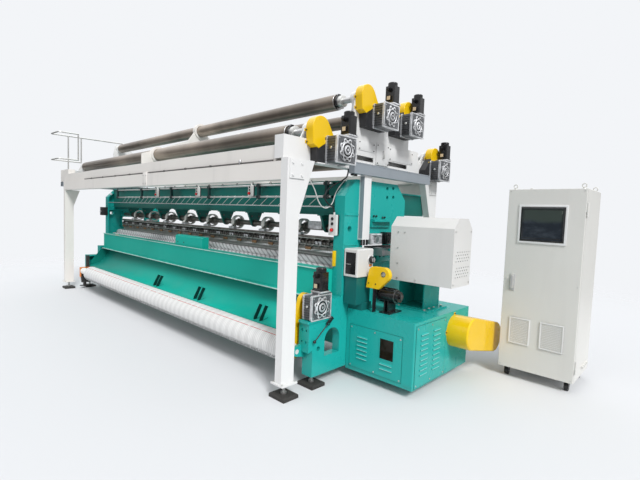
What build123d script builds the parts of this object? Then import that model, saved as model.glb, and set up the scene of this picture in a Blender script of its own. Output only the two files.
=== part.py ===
from build123d import *
import math
import os

os.makedirs("parts", exist_ok=True)

# Warp knitting machine with beam gantry and control cabinet, in millimetres.
# +X runs along the machine towards the drive end, +Y to the back, +Z up.
# The origin lies on the floor under the middle of the front foot at the drive end.

# Running fit, seat gap between separate pieces, and gap round moving pieces
RUN_FIT = 0.06
SEAT = 0.3
FREE = 3.0

# Gantry plan
SPAN = 6060.0
REAR_Y = 2330.0
COLUMN_WIDTH = 80.0
COLUMN_DEPTH = 140.0
COLUMN_WALL = 6.0
FOOT_GAP = 120.0
FLARE_Z = 1530.0
FLARE_SLOPE = 0.355
TUBE_WALL = 6.0

# Front and rear top beams, each a low beam with a rail welded on it that is taller at the far end
BEAM_Z = 1820.0
BEAM_HEIGHT = 150.0
BEAM_DEPTH = 100.0
RAIL_HEIGHT = 135.0
RAIL_END_HEIGHT = 220.0
RAIL_END_LENGTH = 470.0
RAIL_DEPTH = 110.0
RAIL_SETBACK = 20.0
RAIL_OVERHANG = 300.0

# Cross heads over the columns
HEAD_WIDTH = 110.0
HEAD_HEIGHT = 190.0
HEAD_GAP = 10.0
HEAD_X = -80.0

# Warp beam shafts: axis of each as (name, y, z), then where its gearbox hangs
SHAFTS = (
    ("front_low", 288.0, 2276.0),
    ("front_high", 924.0, 2698.0),
    ("rear_high", 1655.0, 2693.0),
    ("rear_low", 2295.0, 2288.0),
)
DRIVES = (
    (466.0, 2108.0),
    (1120.0, 2522.0),
    (1612.0, 2520.0),
    (2284.0, 2113.0),
)
TUBE_R = 80.0
TUBE_BORE_R = 72.0
TUBE_END_GAP = 450.0
JOURNAL_R = 30.0
CLAMP_R = 56.0
CLAMP_WIDTH = 88.0
WHEEL_R = 100.0
WHEEL_TEETH = 24
HOUSING_R = 68.0
BEARING_LENGTH = 80.0

# Let-off drives: gearbox body, its motor beside the wheel axis, guard and chain
GEAR_W = 258.0
GEAR_H = 238.0
GEAR_D = 140.0
GEAR_X = 60.0
MOTOR_SIDE = 120.0
MOTOR_LENGTH = 182.0
MOTOR_CAP = 40.0
MOTOR_DY = 90.0
GUARD_R = 108.0
GUARD_DROP = 170.0
GUARD_WALL = 2.5
CHAIN_X = 16.0
CASE_R = 58.0
CASE_REACH = 222.0
CASE_DROP = 117.0
PINION_R = 34.0

# End frames, as plates with a flange all round
FRAME_THICK = 124.0
FRAME_FACE_X = 43.0
FRAME_WEB = 22.0
FRAME_FRONT = 286.0
FRAME_UPPER = 650.0
FRAME_TOP = 1895.0
FRAME_CHAMFER = 165.0
FRAME_SHOULDER = 780.0
FRAME_BOTTOM = 100.0
ARCH_W = 202.0
ARCH_Y = 543.0
ARCH_BOTTOM = 262.0
ARCH_TOP = 508.0
LIFT_HOLE_R = 29.0
SHOULDER_HOLE_R = 20.0

# Take-up arm and drive in front of the drive-end frame
ARM_FRONT = 235.0
ARM_BOTTOM = 330.0
ARM_TOP = 610.0
TAKE_W = 254.0
TAKE_H = 226.0
TAKE_D = 119.0
TAKE_Y = 372.0

# Beams between the end frames
MAIN_Y0 = 760.0
MAIN_Y1 = 1180.0
MAIN_Z0 = 1545.0
MAIN_Z1 = 1880.0
TROUGH_Y = 580.0
TROUGH_DEPTH = 120.0
TROUGH_Z0 = 748.0
TROUGH_Z1 = 1030.0
BEAM_SHEET = 8.0

# Knitting zone
SWING_Y = 980.0
SWING_Z = 1405.0
SWING_R = 32.0
HANGER_PITCH = 640.0
HANGER_MARGIN = 250.0
SHOG_Y = 1085.0
SHOG_Z = 1195.0
NEEDLE_Y = 985.0
NEEDLE_Z = 1085.0
MAIN_SHAFT_Y = 1170.0
MAIN_SHAFT_Z = 620.0

# Take-down and batching rolls: (name, y, z)
ROLL_R = 55.0
TAKE_ROLLS = (
    ("front", 765.0, 985.0),
    ("middle", 862.0, 1052.0),
    ("rear", 985.0, 984.0),
)
BATCH_R = 127.0
BATCH_Y = 190.0
BATCH_Z = 332.0
PRESS_R = 42.0
PRESS_Y = 362.0
PRESS_Z = 345.0

# Drive housing on the right of the drive-end frame
HOUSE_X0 = 43.3
HOUSE_X1 = 779.0
HOUSE_Y0 = 749.0
HOUSE_Y1 = 1813.0
HOUSE_Z0 = 80.0
HOUSE_Z1 = 665.0
HOUSE_SHEET = 4.0
PANEL_SHEET = 3.0

# Control cabinet
CAB_X = 1053.0
CAB_Y = 1950.0
CAB_W = 660.0
CAB_D = 610.0
CAB_Z = 100.0
CAB_H = 1764.0
CAB_SHEET = 4.0
DOOR_THICK = 24.0


def block(x0, x1, y0, y1, z0, z1):
    """A plain box between two corners."""
    shape = Box(x1 - x0, y1 - y0, z1 - z0)
    return Pos((x0 + x1) / 2, (y0 + y1) / 2, (z0 + z1) / 2) * shape


def rod_x(x0, x1, y, z, r):
    """A round bar along X."""
    return Pos((x0 + x1) / 2, y, z) * Rot(0, 90, 0) * Cylinder(r, x1 - x0)


def rod_y(x, y0, y1, z, r):
    """A round bar along Y."""
    return Pos(x, (y0 + y1) / 2, z) * Rot(90, 0, 0) * Cylinder(r, y1 - y0)


def rod_z(x, y, z0, z1, r):
    """A round bar along Z."""
    return Pos(x, y, (z0 + z1) / 2) * Cylinder(r, z1 - z0)


def outline(points):
    """A flat face from the corners of a closed outline."""
    return make_face(Polyline(*points, close=True))


def plate_x(face, x0, x1):
    """A face drawn as (y, z), made solid from x0 to x1."""
    return extrude(Plane.YZ.offset(x0) * face, x1 - x0)


def plate_y(face, y0, y1):
    """A face drawn as (x, z), made solid from y0 to y1."""
    return extrude(Plane.XZ.offset(-y0) * face, y0 - y1)


def plate_z(face, z0, z1):
    """A face drawn as (x, y), made solid from z0 to z1."""
    return extrude(Plane.XY.offset(z0) * face, z1 - z0)


def capsule(start, end, r0, r1):
    """The flat hull of two circles."""
    return make_hull((Pos(*start) * Circle(r0)).edges() + (Pos(*end) * Circle(r1)).edges())


def slot_between(start, end, r):
    """A round-ended outline from one centre to the other."""
    run = math.hypot(end[0] - start[0], end[1] - start[1])
    turn = math.degrees(math.atan2(end[1] - start[1], end[0] - start[0]))
    middle = ((start[0] + end[0]) / 2, (start[1] + end[1]) / 2)
    return Pos(*middle) * Rot(0, 0, turn) * SlotCenterToCenter(run, 2 * r)


def tube_box(x0, x1, y0, y1, z0, z1, wall):
    """A closed hollow box section."""
    inner = block(x0 + wall, x1 - wall, y0 + wall, y1 - wall, z0 + wall, z1 - wall)
    return block(x0, x1, y0, y1, z0, z1) - inner


def hexagon(r):
    """The outline of a nut or a hexagon hole across its corners."""
    return RegularPolygon(r, 6)


def save(node, shape):
    """One STEP file for one node."""
    export_step(shape, "parts/" + node + ".step")


# Columns and feet
def column(x, y, inward, top):
    """A box column on a foot plate, widening inwards under the gantry."""
    outer = y - inward * COLUMN_DEPTH / 2
    inner = y + inward * COLUMN_DEPTH / 2
    base = FOOT_GAP + 14
    flare = FLARE_SLOPE * (top - FLARE_Z)
    face = [(outer, base), (inner, base), (inner, FLARE_Z), (inner + inward * flare, top), (outer, top)]
    w = COLUMN_WALL
    hollow = [
        (outer + inward * w, base + w),
        (inner - inward * w, base + w),
        (inner - inward * w, FLARE_Z),
        (inner + inward * (flare - w - w * FLARE_SLOPE), top - w),
        (outer + inward * w, top - w),
    ]
    half = COLUMN_WIDTH / 2
    post = plate_x(outline(face), x - half, x + half)
    post -= plate_x(outline(hollow), x - half + w, x + half - w)
    foot = block(x - 75, x + 75, y - 85, y + 85, FOOT_GAP, base)
    foot -= rod_z(x, y, FOOT_GAP - 1, base - 6, FOOT_STEM_R + 1)
    return post + foot


FOOT_STEM_R = 12.0
PAD_X = 190.0
PAD_Y = 165.0
PAD_H = 34.0


def levelling_foot(x, y, gap):
    """A rubber-faced pad with its levelling screw and nut."""
    pad = Pos(x, y, PAD_H / 2) * Box(PAD_X, PAD_Y, PAD_H)
    pad = chamfer(pad.faces().sort_by(Axis.Z)[-1].edges(), 7)
    stem = rod_z(x, y, PAD_H - 2, gap + 7, FOOT_STEM_R)
    nut = plate_z(Pos(x, y) * hexagon(21), gap - 20, gap - SEAT)
    collar = rod_z(x, y, PAD_H - 1, PAD_H + 14, 26)
    return pad + stem + nut + collar


def bolt_head_x(x, y, z, r, height):
    """A hexagon bolt head standing on a face that looks along X."""
    return plate_x(Pos(y, z) * hexagon(r), min(x, x + height), max(x, x + height))


def right_column(y, inward):
    """A drive-end column with its bolted head plate."""
    post = column(0, y, inward, BEAM_Z + 175)
    half = COLUMN_WIDTH / 2
    y0 = y - inward * 52
    y1 = y + inward * 112
    post += block(half - 1, half + 10, min(y0, y1), max(y0, y1), 1832, 1985)
    for by in (y - inward * 22, y + inward * 80):
        for bz in (1860, 1958):
            post += bolt_head_x(half + 9, by, bz, 13, 9)
    return post


save("column_front_right", right_column(0, 1))
save("column_rear_right", right_column(REAR_Y, -1))
save("column_front_left", column(-SPAN, 0, 1, BEAM_Z - SEAT))
save("column_rear_left", column(-SPAN, REAR_Y, -1, BEAM_Z - SEAT))

FRAME_X = (FRAME_FACE_X - FRAME_THICK / 2, -SPAN - FRAME_FACE_X + FRAME_THICK / 2)
FRAME_BACK = REAR_Y - FRAME_FRONT
feet = [levelling_foot(x, y, FOOT_GAP) for x in (0, -SPAN) for y in (0, REAR_Y)]
feet += [levelling_foot(x, y, FRAME_BOTTOM) for x in FRAME_X for y in (FRAME_FRONT + 62, FRAME_BACK - 62)]
save("levelling_feet", Compound(children=feet))


# Top beams, each with a welded gusset that steadies its two shafts in the middle
def top_beam(y, inward, x_end):
    """A low beam between the columns and the set-back rail on it."""
    outer = y - inward * (COLUMN_DEPTH / 2)
    low = (outer, outer + inward * BEAM_DEPTH)
    high = (outer + inward * RAIL_SETBACK, outer + inward * (RAIL_SETBACK + RAIL_DEPTH))
    top = BEAM_Z + BEAM_HEIGHT
    x_right = -COLUMN_WIDTH / 2 - SEAT
    beam = tube_box(-SPAN - 45, x_right, min(low), max(low), BEAM_Z, top, TUBE_WALL)
    x_far = -SPAN - RAIL_OVERHANG
    x_step = x_far + RAIL_END_LENGTH
    rail = tube_box(x_step - TUBE_WALL, x_end, min(high), max(high), top - 1, top + RAIL_HEIGHT, TUBE_WALL)
    tall = tube_box(x_far, x_step, min(high), max(high), top - 1, top + RAIL_END_HEIGHT, TUBE_WALL)
    return beam + rail + tall


HEAD_Z0 = BEAM_Z + 175 + SEAT
HEAD_Z1 = HEAD_Z0 + HEAD_HEIGHT
RAIL_END = HEAD_X - HEAD_WIDTH / 2 - SEAT
RAIL_INNER = -COLUMN_DEPTH / 2 + RAIL_SETBACK + RAIL_DEPTH
RAIL_TOP = BEAM_Z + BEAM_HEIGHT + RAIL_END_HEIGHT
MID_X = -SPAN / 2


def mid_cradle(y_seat, inward, low, high):
    """A gusset plate off a top beam with a ring round its low and its high shaft."""
    ring = TUBE_R + FREE + 26
    reach = abs(high[1] - y_seat)
    arm = [
        (0, BEAM_Z + 20),
        (0, RAIL_TOP + 80),
        (150, RAIL_TOP + 135),
        (reach - 200, high[2] - 160),
        (reach - 60, high[2] + 40),
        (reach + 150, high[2] - 75),
        (reach + 15, high[2] - 364),
        (reach - 143, high[2] - 577),
        (reach - 260, RAIL_TOP - 180),
        (240, BEAM_Z + 20),
    ]
    plate = plate_x(outline([(y_seat + inward * y, z) for y, z in arm]), MID_X - 12, MID_X + 12)
    for name, y, z in (low, high):
        plate += rod_x(MID_X - 32, MID_X + 32, y, z, ring)
    for name, y, z in (low, high):
        plate -= rod_x(MID_X - 40, MID_X + 40, y, z, TUBE_R + FREE)
    return plate


save("front_top_beam", top_beam(0, 1, RAIL_END) + mid_cradle(RAIL_INNER - 1, 1, SHAFTS[0], SHAFTS[1]))
save("rear_top_beam", top_beam(REAR_Y, -1, RAIL_END) + mid_cradle(REAR_Y - RAIL_INNER + 1, -1, SHAFTS[3], SHAFTS[2]))


# Cross heads with the bearings of the beam shafts
def bearing_stand(x, y, z, y_foot):
    """A web plate up from the cross head to a bearing housing."""
    foot = Pos(y_foot, HEAD_Z1 - 2) * Rectangle(250, 4)
    face = make_hull((Pos(y, z) * Circle(HOUSING_R - 3)).edges() + foot.edges())
    stand = plate_x(face, x - 9, x + 9)
    half = BEARING_LENGTH / 2
    return stand + rod_x(x - half, x + half, y, z, HOUSING_R)


TOWER = (
    (790.0, HEAD_Z1 - 60),
    (2060.0, HEAD_Z1 - 60),
    (2020.0, HEAD_Z1 + 128),
    (1800.0, HEAD_Z1 + 128),
    (1800.0, 2590.0),
    (1770.0, 2770.0),
    (1650.0, 2770.0),
    (1400.0, 2600.0),
    (1280.0, 2600.0),
    (1000.0, 2765.0),
    (850.0, 2765.0),
    (810.0, 2590.0),
)
TOWER_SLOTS = ((880.0, 1150.0), (1420.0, 1790.0))
TOWER_THICK = 14.0


def cross_head(x, y0, y1, tower_side):
    """A box beam from front to back with a tower plate and four bearings on it."""
    half = HEAD_WIDTH / 2
    head = tube_box(x - half, x + half, y0, y1, HEAD_Z0, HEAD_Z1, TUBE_WALL)
    face = x + tower_side * half
    lo = min(face, face - tower_side * TOWER_THICK)
    hi = max(face, face - tower_side * TOWER_THICK)
    head += plate_x(outline(TOWER), lo, hi)
    if tower_side > 0:
        low = DRIVES[0]
        back = DRIVES[-1]
        head += block(lo, hi, low[0] - 110, low[0] + GEAR_W / 2, HEAD_Z0 + 5, low[1] + GEAR_H / 2)
        head += block(lo, hi, back[0] - GEAR_W / 2, y1 - 1, HEAD_Z0 + 5, back[1] + GEAR_H / 2)
    for name, y, z in SHAFTS:
        head += bearing_stand(x, y, z, max(y0 + 130, min(y, y1 - 160)))
    for ya, yb in TOWER_SLOTS:
        head -= block(lo - 30, hi + 5, ya, yb, HEAD_Z1 - 92, HEAD_Z1 - 46)
    for name, y, z in SHAFTS:
        head -= rod_x(x - half - 5, x + half + 5, y, z, JOURNAL_R + RUN_FIT)
    return head


HEAD_FRONT = -COLUMN_DEPTH / 2 + 5
right_head = cross_head(HEAD_X, HEAD_FRONT, REAR_Y - HEAD_FRONT, 1)
tray_x = HEAD_X + HEAD_WIDTH / 2
tray_top = DRIVES[0][1] - CASE_DROP - SEAT
right_head += block(tray_x - 2, tray_x + 84, 250, 505, tray_top - 10, tray_top)
right_head += block(tray_x - 10, tray_x, 260, 500, tray_top - 10, HEAD_Z0 + 20)
save("cross_head_right", right_head)
LEFT_HEAD_X = -SPAN - HEAD_WIDTH / 2
save("cross_head_left", cross_head(LEFT_HEAD_X, RAIL_INNER + SEAT, REAR_Y - RAIL_INNER - SEAT, -1))


# Warp beam shafts
def chain_wheel(x0, x1, y, z, r, teeth):
    """A sprocket with pointed teeth."""
    points = []
    for i in range(teeth):
        for part, radius in ((0.0, r - 9), (0.3, r - 9), (0.55, r), (0.75, r)):
            a = 2 * math.pi * (i + part) / teeth
            points.append((y + radius * math.cos(a), z + radius * math.sin(a)))
    return plate_x(outline(points), x0, x1)


def beam_shaft(y, z):
    """A steel tube with end discs, journals, clamp collar and chain wheel."""
    left = LEFT_HEAD_X - BEARING_LENGTH / 2 - 12
    tube_left = -SPAN + 40
    tube_right = -TUBE_END_GAP
    shaft = rod_x(tube_left, tube_right, y, z, TUBE_R)
    shaft -= rod_x(tube_left + 16, tube_right - 16, y, z, TUBE_BORE_R)
    shaft += rod_x(left, tube_left + 4, y, z, JOURNAL_R)
    shaft += rod_x(tube_right - 4, CHAIN_X + 24, y, z, JOURNAL_R)
    shaft += rod_x(tube_right - 4, tube_right + 60, y, z, 66)
    shaft += rod_x(-345, -345 + CLAMP_WIDTH, y, z, CLAMP_R)
    shaft += block(-335, -267, y - 14, y + 14, z - CLAMP_R - 16, z - CLAMP_R + 6)
    shaft += chain_wheel(CHAIN_X - 7, CHAIN_X + 5, y, z, WHEEL_R, WHEEL_TEETH)
    return shaft


for name, y, z in SHAFTS:
    save("beam_shaft_" + name, beam_shaft(y, z))


# Worm gearboxes, servo motors, guards and chain cases of the drives
def gearbox(x, y, z, w, h, d):
    """A square worm gearbox with ribbed sides and a round cover with its hub."""
    half_w = w / 2
    half_h = h / 2
    body = block(x, x + d - 8, y - half_w + 8, y + half_w - 8, z - half_h + 8, z + half_h - 8)
    rear = block(x, x + 16, y - half_w, y + half_w, z - half_h, z + half_h)
    front = block(x + d - 26, x + d - 6, y - half_w, y + half_w, z - half_h, z + half_h)
    body += chamfer(rear.edges().filter_by(Axis.X), 12)
    body += chamfer(front.edges().filter_by(Axis.X), 12)
    span = min(w, h)
    dish = rod_x(x + d - 14, x + d, y, z, span * 0.46)
    dish -= rod_x(x + d - 9, x + d + 1, y, z, span * 0.40)
    body -= rod_x(x + d - 10, x + d, y, z, span * 0.40)
    body += dish
    body += rod_x(x + d - 20, x + d - 2, y, z, span * 0.24)
    for i in range(8):
        rib = block(x + d - 12, x + d - 4, y + span * 0.22, y + span * 0.41, z - 4, z + 4)
        body += rib.rotate(Axis((x, y, z), (1, 0, 0)), 22.5 + 45 * i)
    body -= rod_x(x + d - 8, x + d + 2, y, z, span * 0.155)
    body += rod_x(x + d - 12, x + d + 1, y, z, span * 0.115)
    neck = block(x + d / 2 - 56, x + d / 2 + 56, y - 26, y + half_w - 2, z + half_h - 9, z + half_h + GEAR_NECK)
    return body + neck


def servo_motor(x, y, z):
    """A square servo motor standing on its flange, with cap and plugs."""
    half = MOTOR_SIDE / 2
    flange = plate_z(Pos(x, y) * RectangleRounded(MOTOR_SIDE, MOTOR_SIDE, 10), z, z + 14)
    body = plate_z(Pos(x, y) * RectangleRounded(MOTOR_SIDE - 14, MOTOR_SIDE - 14, 14), z + 13, z + MOTOR_LENGTH)
    cap = rod_z(x, y, z + MOTOR_LENGTH - 1, z + MOTOR_LENGTH + MOTOR_CAP, half - 12)
    cap = fillet(cap.faces().sort_by(Axis.Z)[-1].edges(), 9)
    motor = flange + body + cap
    motor += rod_y(x, y - half - 24, y - half + 12, z + MOTOR_LENGTH - 34, 21)
    motor += block(x - 22, x + 22, y - half - 8, y - half + 12, z + 40, z + 84)
    return motor


def guard_face(y, z, r):
    """The outline of a chain guard: round above, leaning to the gearbox below."""
    low = [(y + 165, z - 50), (y - 30, z - GUARD_DROP), (y - 95, z - 140)]
    return make_hull((Pos(y, z) * Circle(r)).edges() + Polyline(*low).edges())


GUARD_X0 = HEAD_X + HEAD_WIDTH / 2 + SEAT
GUARD_X1 = GEAR_X - SEAT


LUGS = ((-116.0, -20.0), (-104.0, -118.0))


def chain_guard(shaft, gear):
    """A pressed guard over the chain wheel, open behind and where its chain leaves."""
    name, y, z = shaft
    gy, gz = gear
    face = guard_face(y, z, GUARD_R)
    guard = plate_x(face, GUARD_X0, GUARD_X1)
    front = guard.faces().sort_by(Axis.X)[-1]
    guard = fillet(front.edges(), 7)
    guard -= plate_x(offset(face, -GUARD_WALL), GUARD_X0 - 1, GUARD_X1 - GUARD_WALL)
    guard -= plate_x(capsule((y, z), (gy, gz), 60, PINION_R + 10), GUARD_X0 - 1, GUARD_X1 - 10)
    guard -= rod_x(GUARD_X1 - 15, GUARD_X1 + 5, gy, gz, 24)
    for dy, dz in LUGS:
        guard += block(GUARD_X0, GUARD_X0 + 5, y + dy - 12, y + dy + 14, z + dz - 12, z + dz + 12)
    return guard


def chain_case(shaft, gear):
    """The sheet case round the chain from the wheel guard down to the gearbox."""
    name, y, z = shaft
    gy, gz = gear
    box = Pos(gy - CASE_REACH / 2 + 50, gz - CASE_DROP / 2) * Rectangle(CASE_REACH + 100, CASE_DROP)
    face = make_hull((Pos(y, z) * Circle(CASE_R)).edges() + box.edges())
    x1 = GUARD_X1 - 2
    case = plate_x(face, GUARD_X0, x1)
    case -= plate_x(offset(face, -3), GUARD_X0 + 3, x1 - 3)
    case -= plate_x(offset(guard_face(y, z, GUARD_R), 1), GUARD_X0 - 5, x1 + 5)
    for dy, dz in LUGS:
        case -= block(GUARD_X0 - 1, GUARD_X0 + 8, y + dy - 15, y + dy + 17, z + dz - 15, z + dz + 15)
    case -= rod_x(x1 - 10, x1 + 5, gy, gz, 26)
    return case


def drive_gearbox(gear):
    """A let-off gearbox with its chain pinion and the four spacers behind it."""
    gy, gz = gear
    box = gearbox(GEAR_X, gy, gz, GEAR_W, GEAR_H, GEAR_D)
    box += rod_x(CHAIN_X + 4, GEAR_X + 4, gy, gz, 16)
    box += chain_wheel(CHAIN_X - 6, CHAIN_X + 6, gy, gz, PINION_R, 11)
    for dz in (40, -106):
        box += rod_x(GUARD_X0, GEAR_X + 2, gy + 116, gz + dz, 9)
    return box


TAKE_Z = ARM_TOP + SEAT + TAKE_H / 2
TAKE_X = -59.0
GEAR_NECK = 12.0
gearboxes = [drive_gearbox(gear) for gear in DRIVES]
gearboxes.append(gearbox(TAKE_X, TAKE_Y, TAKE_Z, TAKE_W, TAKE_H, TAKE_D))
motors = []
for gy, gz in DRIVES:
    motors.append(servo_motor(GEAR_X + GEAR_D / 2, gy + MOTOR_DY, gz + GEAR_H / 2 + GEAR_NECK + SEAT))
motors.append(servo_motor(TAKE_X + TAKE_D / 2, TAKE_Y + 36, TAKE_Z + TAKE_H / 2 + GEAR_NECK + SEAT))
save("worm_gearboxes", Compound(children=gearboxes))
save("servo_motors", Compound(children=motors))
save("chain_guards", Compound(children=[chain_guard(shaft, gear) for shaft, gear in zip(SHAFTS, DRIVES)]))
save("chain_cases", Compound(children=[chain_case(shaft, gear) for shaft, gear in zip(SHAFTS, DRIVES)]))


# End frames
def frame_face(front_step):
    """The outline of an end frame from the side, as (y, z)."""
    back = FRAME_BACK
    rear_upper = REAR_Y - FRAME_UPPER
    c = FRAME_CHAMFER
    return outline([
        (FRAME_FRONT, FRAME_BOTTOM),
        (FRAME_FRONT, front_step),
        (FRAME_FRONT + 220, front_step),
        (FRAME_FRONT + 220, FRAME_SHOULDER),
        (FRAME_UPPER, FRAME_SHOULDER),
        (FRAME_UPPER, FRAME_TOP - c),
        (FRAME_UPPER + c, FRAME_TOP),
        (rear_upper - c, FRAME_TOP),
        (rear_upper, FRAME_TOP - c),
        (rear_upper, FRAME_SHOULDER),
        (back, FRAME_SHOULDER - 60),
        (back, FRAME_BOTTOM),
    ])


WINDOW = (940.0, 1395.0, 1150.0, 1350.0)
SHOG_W = 28.0
SHOG_H = 40.0


def frame_holes():
    """Every opening through an end frame."""
    holes = []
    for y in (ARCH_Y, REAR_Y - ARCH_Y):
        r = ARCH_W / 2
        low = Pos(y, (ARCH_BOTTOM + ARCH_TOP - r) / 2) * Rectangle(ARCH_W, ARCH_TOP - r - ARCH_BOTTOM)
        holes.append(low + Pos(y, ARCH_TOP - r) * Circle(r))
    y0, y1, z0, z1 = WINDOW
    holes.append(Pos((y0 + y1) / 2, (z0 + z1) / 2) * RectangleRounded(y1 - y0, z1 - z0, 30))
    holes.append(Pos(FRAME_UPPER + 82, 1420) * Circle(LIFT_HOLE_R))
    return holes


def end_frame(x_face, out, front_step):
    """A cast frame: a web on the outer side with flanges and ribs inwards."""
    face = frame_face(front_step)
    inner_x = x_face - out * FRAME_THICK
    lo = min(x_face, inner_x)
    hi = max(x_face, inner_x)
    frame = plate_x(face, lo, hi)
    web_x = x_face - out * FRAME_WEB
    frame -= plate_x(offset(face, -FRAME_WEB, kind=Kind.INTERSECTION), min(web_x, inner_x - out), max(web_x, inner_x - out))
    for hole in frame_holes():
        rim = plate_x(offset(hole, 14, kind=Kind.INTERSECTION), min(web_x, inner_x + out * 40), max(web_x, inner_x + out * 40))
        frame += rim
    for z in (FRAME_SHOULDER, 1490):
        frame += block(min(web_x, inner_x), max(web_x, inner_x), FRAME_UPPER, REAR_Y - FRAME_UPPER, z - 10, z + 10)
    for y in (820, 1500):
        frame += block(min(web_x, inner_x), max(web_x, inner_x), y - 9, y + 9, FRAME_BOTTOM, FRAME_SHOULDER)
    bearings = [(MAIN_SHAFT_Y, MAIN_SHAFT_Z, 60), (SWING_Y, SWING_Z, 52)]
    bearings += [(y, z, ROLL_STUB_R + 14) for name, y, z in TAKE_ROLLS]
    bearings += [(PRESS_Y, PRESS_Z, ROLL_STUB_R + 14)]
    for y, z, r in bearings:
        frame += rod_x(lo, hi, y, z, r)
    for hole in frame_holes():
        frame -= plate_x(hole, lo - 5, hi + 5)
    frame -= rod_x(lo - 5, hi + 5, MAIN_SHAFT_Y, MAIN_SHAFT_Z, MAIN_SHAFT_R + RUN_FIT)
    frame -= rod_x(lo - 5, hi + 5, SWING_Y, SWING_Z, SWING_R + RUN_FIT)
    for name, y, z in TAKE_ROLLS:
        frame -= rod_x(lo - 5, hi + 5, y, z, ROLL_STUB_R + RUN_FIT)
    frame -= rod_x(lo - 5, hi + 5, PRESS_Y, PRESS_Z, ROLL_STUB_R + RUN_FIT)
    wide = SHOG_W / 2 + RUN_FIT
    deep = SHOG_H / 2 + RUN_FIT
    mid = (lo + hi) / 2
    saddle = block(mid - 24, mid + 24, SHOG_Y - wide - 14, SHOG_Y + wide + 14, WINDOW[2] - 8, SHOG_Z + deep)
    frame += saddle - block(mid - 30, mid + 30, SHOG_Y - wide, SHOG_Y + wide, SHOG_Z - deep, SHOG_Z + deep + 1)
    for y in (FRAME_FRONT + 62, FRAME_BACK - 62):
        frame -= rod_z((lo + hi) / 2, y, FRAME_BOTTOM - 5, FRAME_BOTTOM + 14, FOOT_STEM_R + 1)
    return frame


MAIN_SHAFT_R = 35.0
ROLL_STUB_R = 22.0


def take_up_arm():
    """The box arm for the take-up gearbox with its top plate, holes and roll bearing."""
    inner = FRAME_FACE_X - FRAME_THICK
    side = outline([
        (ARM_FRONT, ARM_BOTTOM),
        (FRAME_FRONT + 20, ARM_BOTTOM + 20),
        (FRAME_FRONT + 20, ARM_TOP - 1),
        (ARM_FRONT, ARM_TOP - 1),
    ])
    arm = plate_x(side, inner, FRAME_FACE_X)
    top = block(inner, FRAME_FACE_X + 8, ARM_FRONT - 18, FRAME_FRONT + 219, ARM_TOP - 20, ARM_TOP)
    arm += chamfer(top.edges().filter_by(Axis.Z), 8)
    for x in (inner + 36, inner + 88):
        for z in (ARM_BOTTOM + 90, ARM_BOTTOM + 195):
            arm -= block(x - 9, x + 9, ARM_FRONT - 2, ARM_FRONT + 40, z - 11, z + 11)
    bearing = make_hull((Pos(BATCH_Y, BATCH_Z) * Circle(44)).edges() + (Pos(FRAME_FRONT + 10, BATCH_Z) * Rectangle(20, 130)).edges())
    arm += plate_x(bearing, inner, inner + 30)
    arm -= rod_x(inner - 5, inner + 35, BATCH_Y, BATCH_Z, ROLL_STUB_R + RUN_FIT)
    boss = rod_x(FRAME_FACE_X - 2, FRAME_FACE_X + 14, LEVER_Y, LEVER_Z, 16)
    pin = rod_x(FRAME_FACE_X - 2, FRAME_FACE_X + 34, LEVER_Y, LEVER_Z, LEVER_PIN_R)
    return arm + boss + pin


LEVER_Y = 452.0
LEVER_Z = 566.0
LEVER_PIN_R = 6.0
right_frame = end_frame(FRAME_FACE_X, 1, ARM_TOP) + take_up_arm()
ledge = block(FRAME_FACE_X - 1, FRAME_FACE_X + 70, 1050, 1370, 1495, 1520)
ledge += block(FRAME_FACE_X - 1, FRAME_FACE_X + 22, 1050, 1370, 1440, 1500)
right_frame += chamfer(ledge.edges().filter_by(Axis.Z).sort_by(Axis.X)[-2:], 10)
for by, bz in ((1097, 1551), (1140, 1551), (1250, 1540), (1287, 1540)):
    right_frame += bolt_head_x(FRAME_FACE_X - 1, by, bz, 11, 8)
for by, bz in ((1328, 1841), (1437, 1851), (1333, 1747), (1446, 1757)):
    right_frame -= rod_x(FRAME_FACE_X - 5 - FRAME_WEB, FRAME_FACE_X + 5, by, bz, SHOULDER_HOLE_R)
save("end_frame_right", right_frame)
save("end_frame_left", end_frame(-SPAN - FRAME_FACE_X, -1, ARM_TOP))

INNER_RIGHT = FRAME_FACE_X - FRAME_THICK
INNER_LEFT = -SPAN - INNER_RIGHT


# Beams between the frames
def hanger_positions():
    """Middle of each bearing hanger under the main beam."""
    count = int((INNER_RIGHT - INNER_LEFT - 2 * HANGER_MARGIN) // HANGER_PITCH)
    start = (INNER_RIGHT + INNER_LEFT) / 2 - HANGER_PITCH * count / 2
    return [start + HANGER_PITCH * i for i in range(count + 1)]


def main_beam():
    """The box beam over the knitting zone with the hangers of the swing shaft."""
    x0 = INNER_LEFT + SEAT
    x1 = INNER_RIGHT - SEAT
    beam = tube_box(x0, x1, MAIN_Y0, MAIN_Y1, MAIN_Z0, MAIN_Z1, BEAM_SHEET)
    beam += block(x0, x1, MAIN_Y0 - 26, MAIN_Y0 + 4, MAIN_Z0, MAIN_Z0 + 10)
    beam += block(x0, x1, MAIN_Y0 - 26, MAIN_Y0 + 4, MAIN_Z1 - 10, MAIN_Z1)
    for x in hanger_positions():
        root = Pos(SWING_Y, MAIN_Z0 + 2) * Rectangle(230, 6)
        face = make_hull((Pos(SWING_Y, SWING_Z) * Circle(50)).edges() + root.edges())
        beam += plate_x(face, x - 14, x + 14)
        beam += block(x - 45, x + 45, SWING_Y - 115, SWING_Y + 115, MAIN_Z0 - 12, MAIN_Z0 + 4)
    for x in hanger_positions():
        beam -= rod_x(x - 20, x + 20, SWING_Y, SWING_Z, SWING_R + RUN_FIT)
    return beam


save("main_beam", main_beam())


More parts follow.
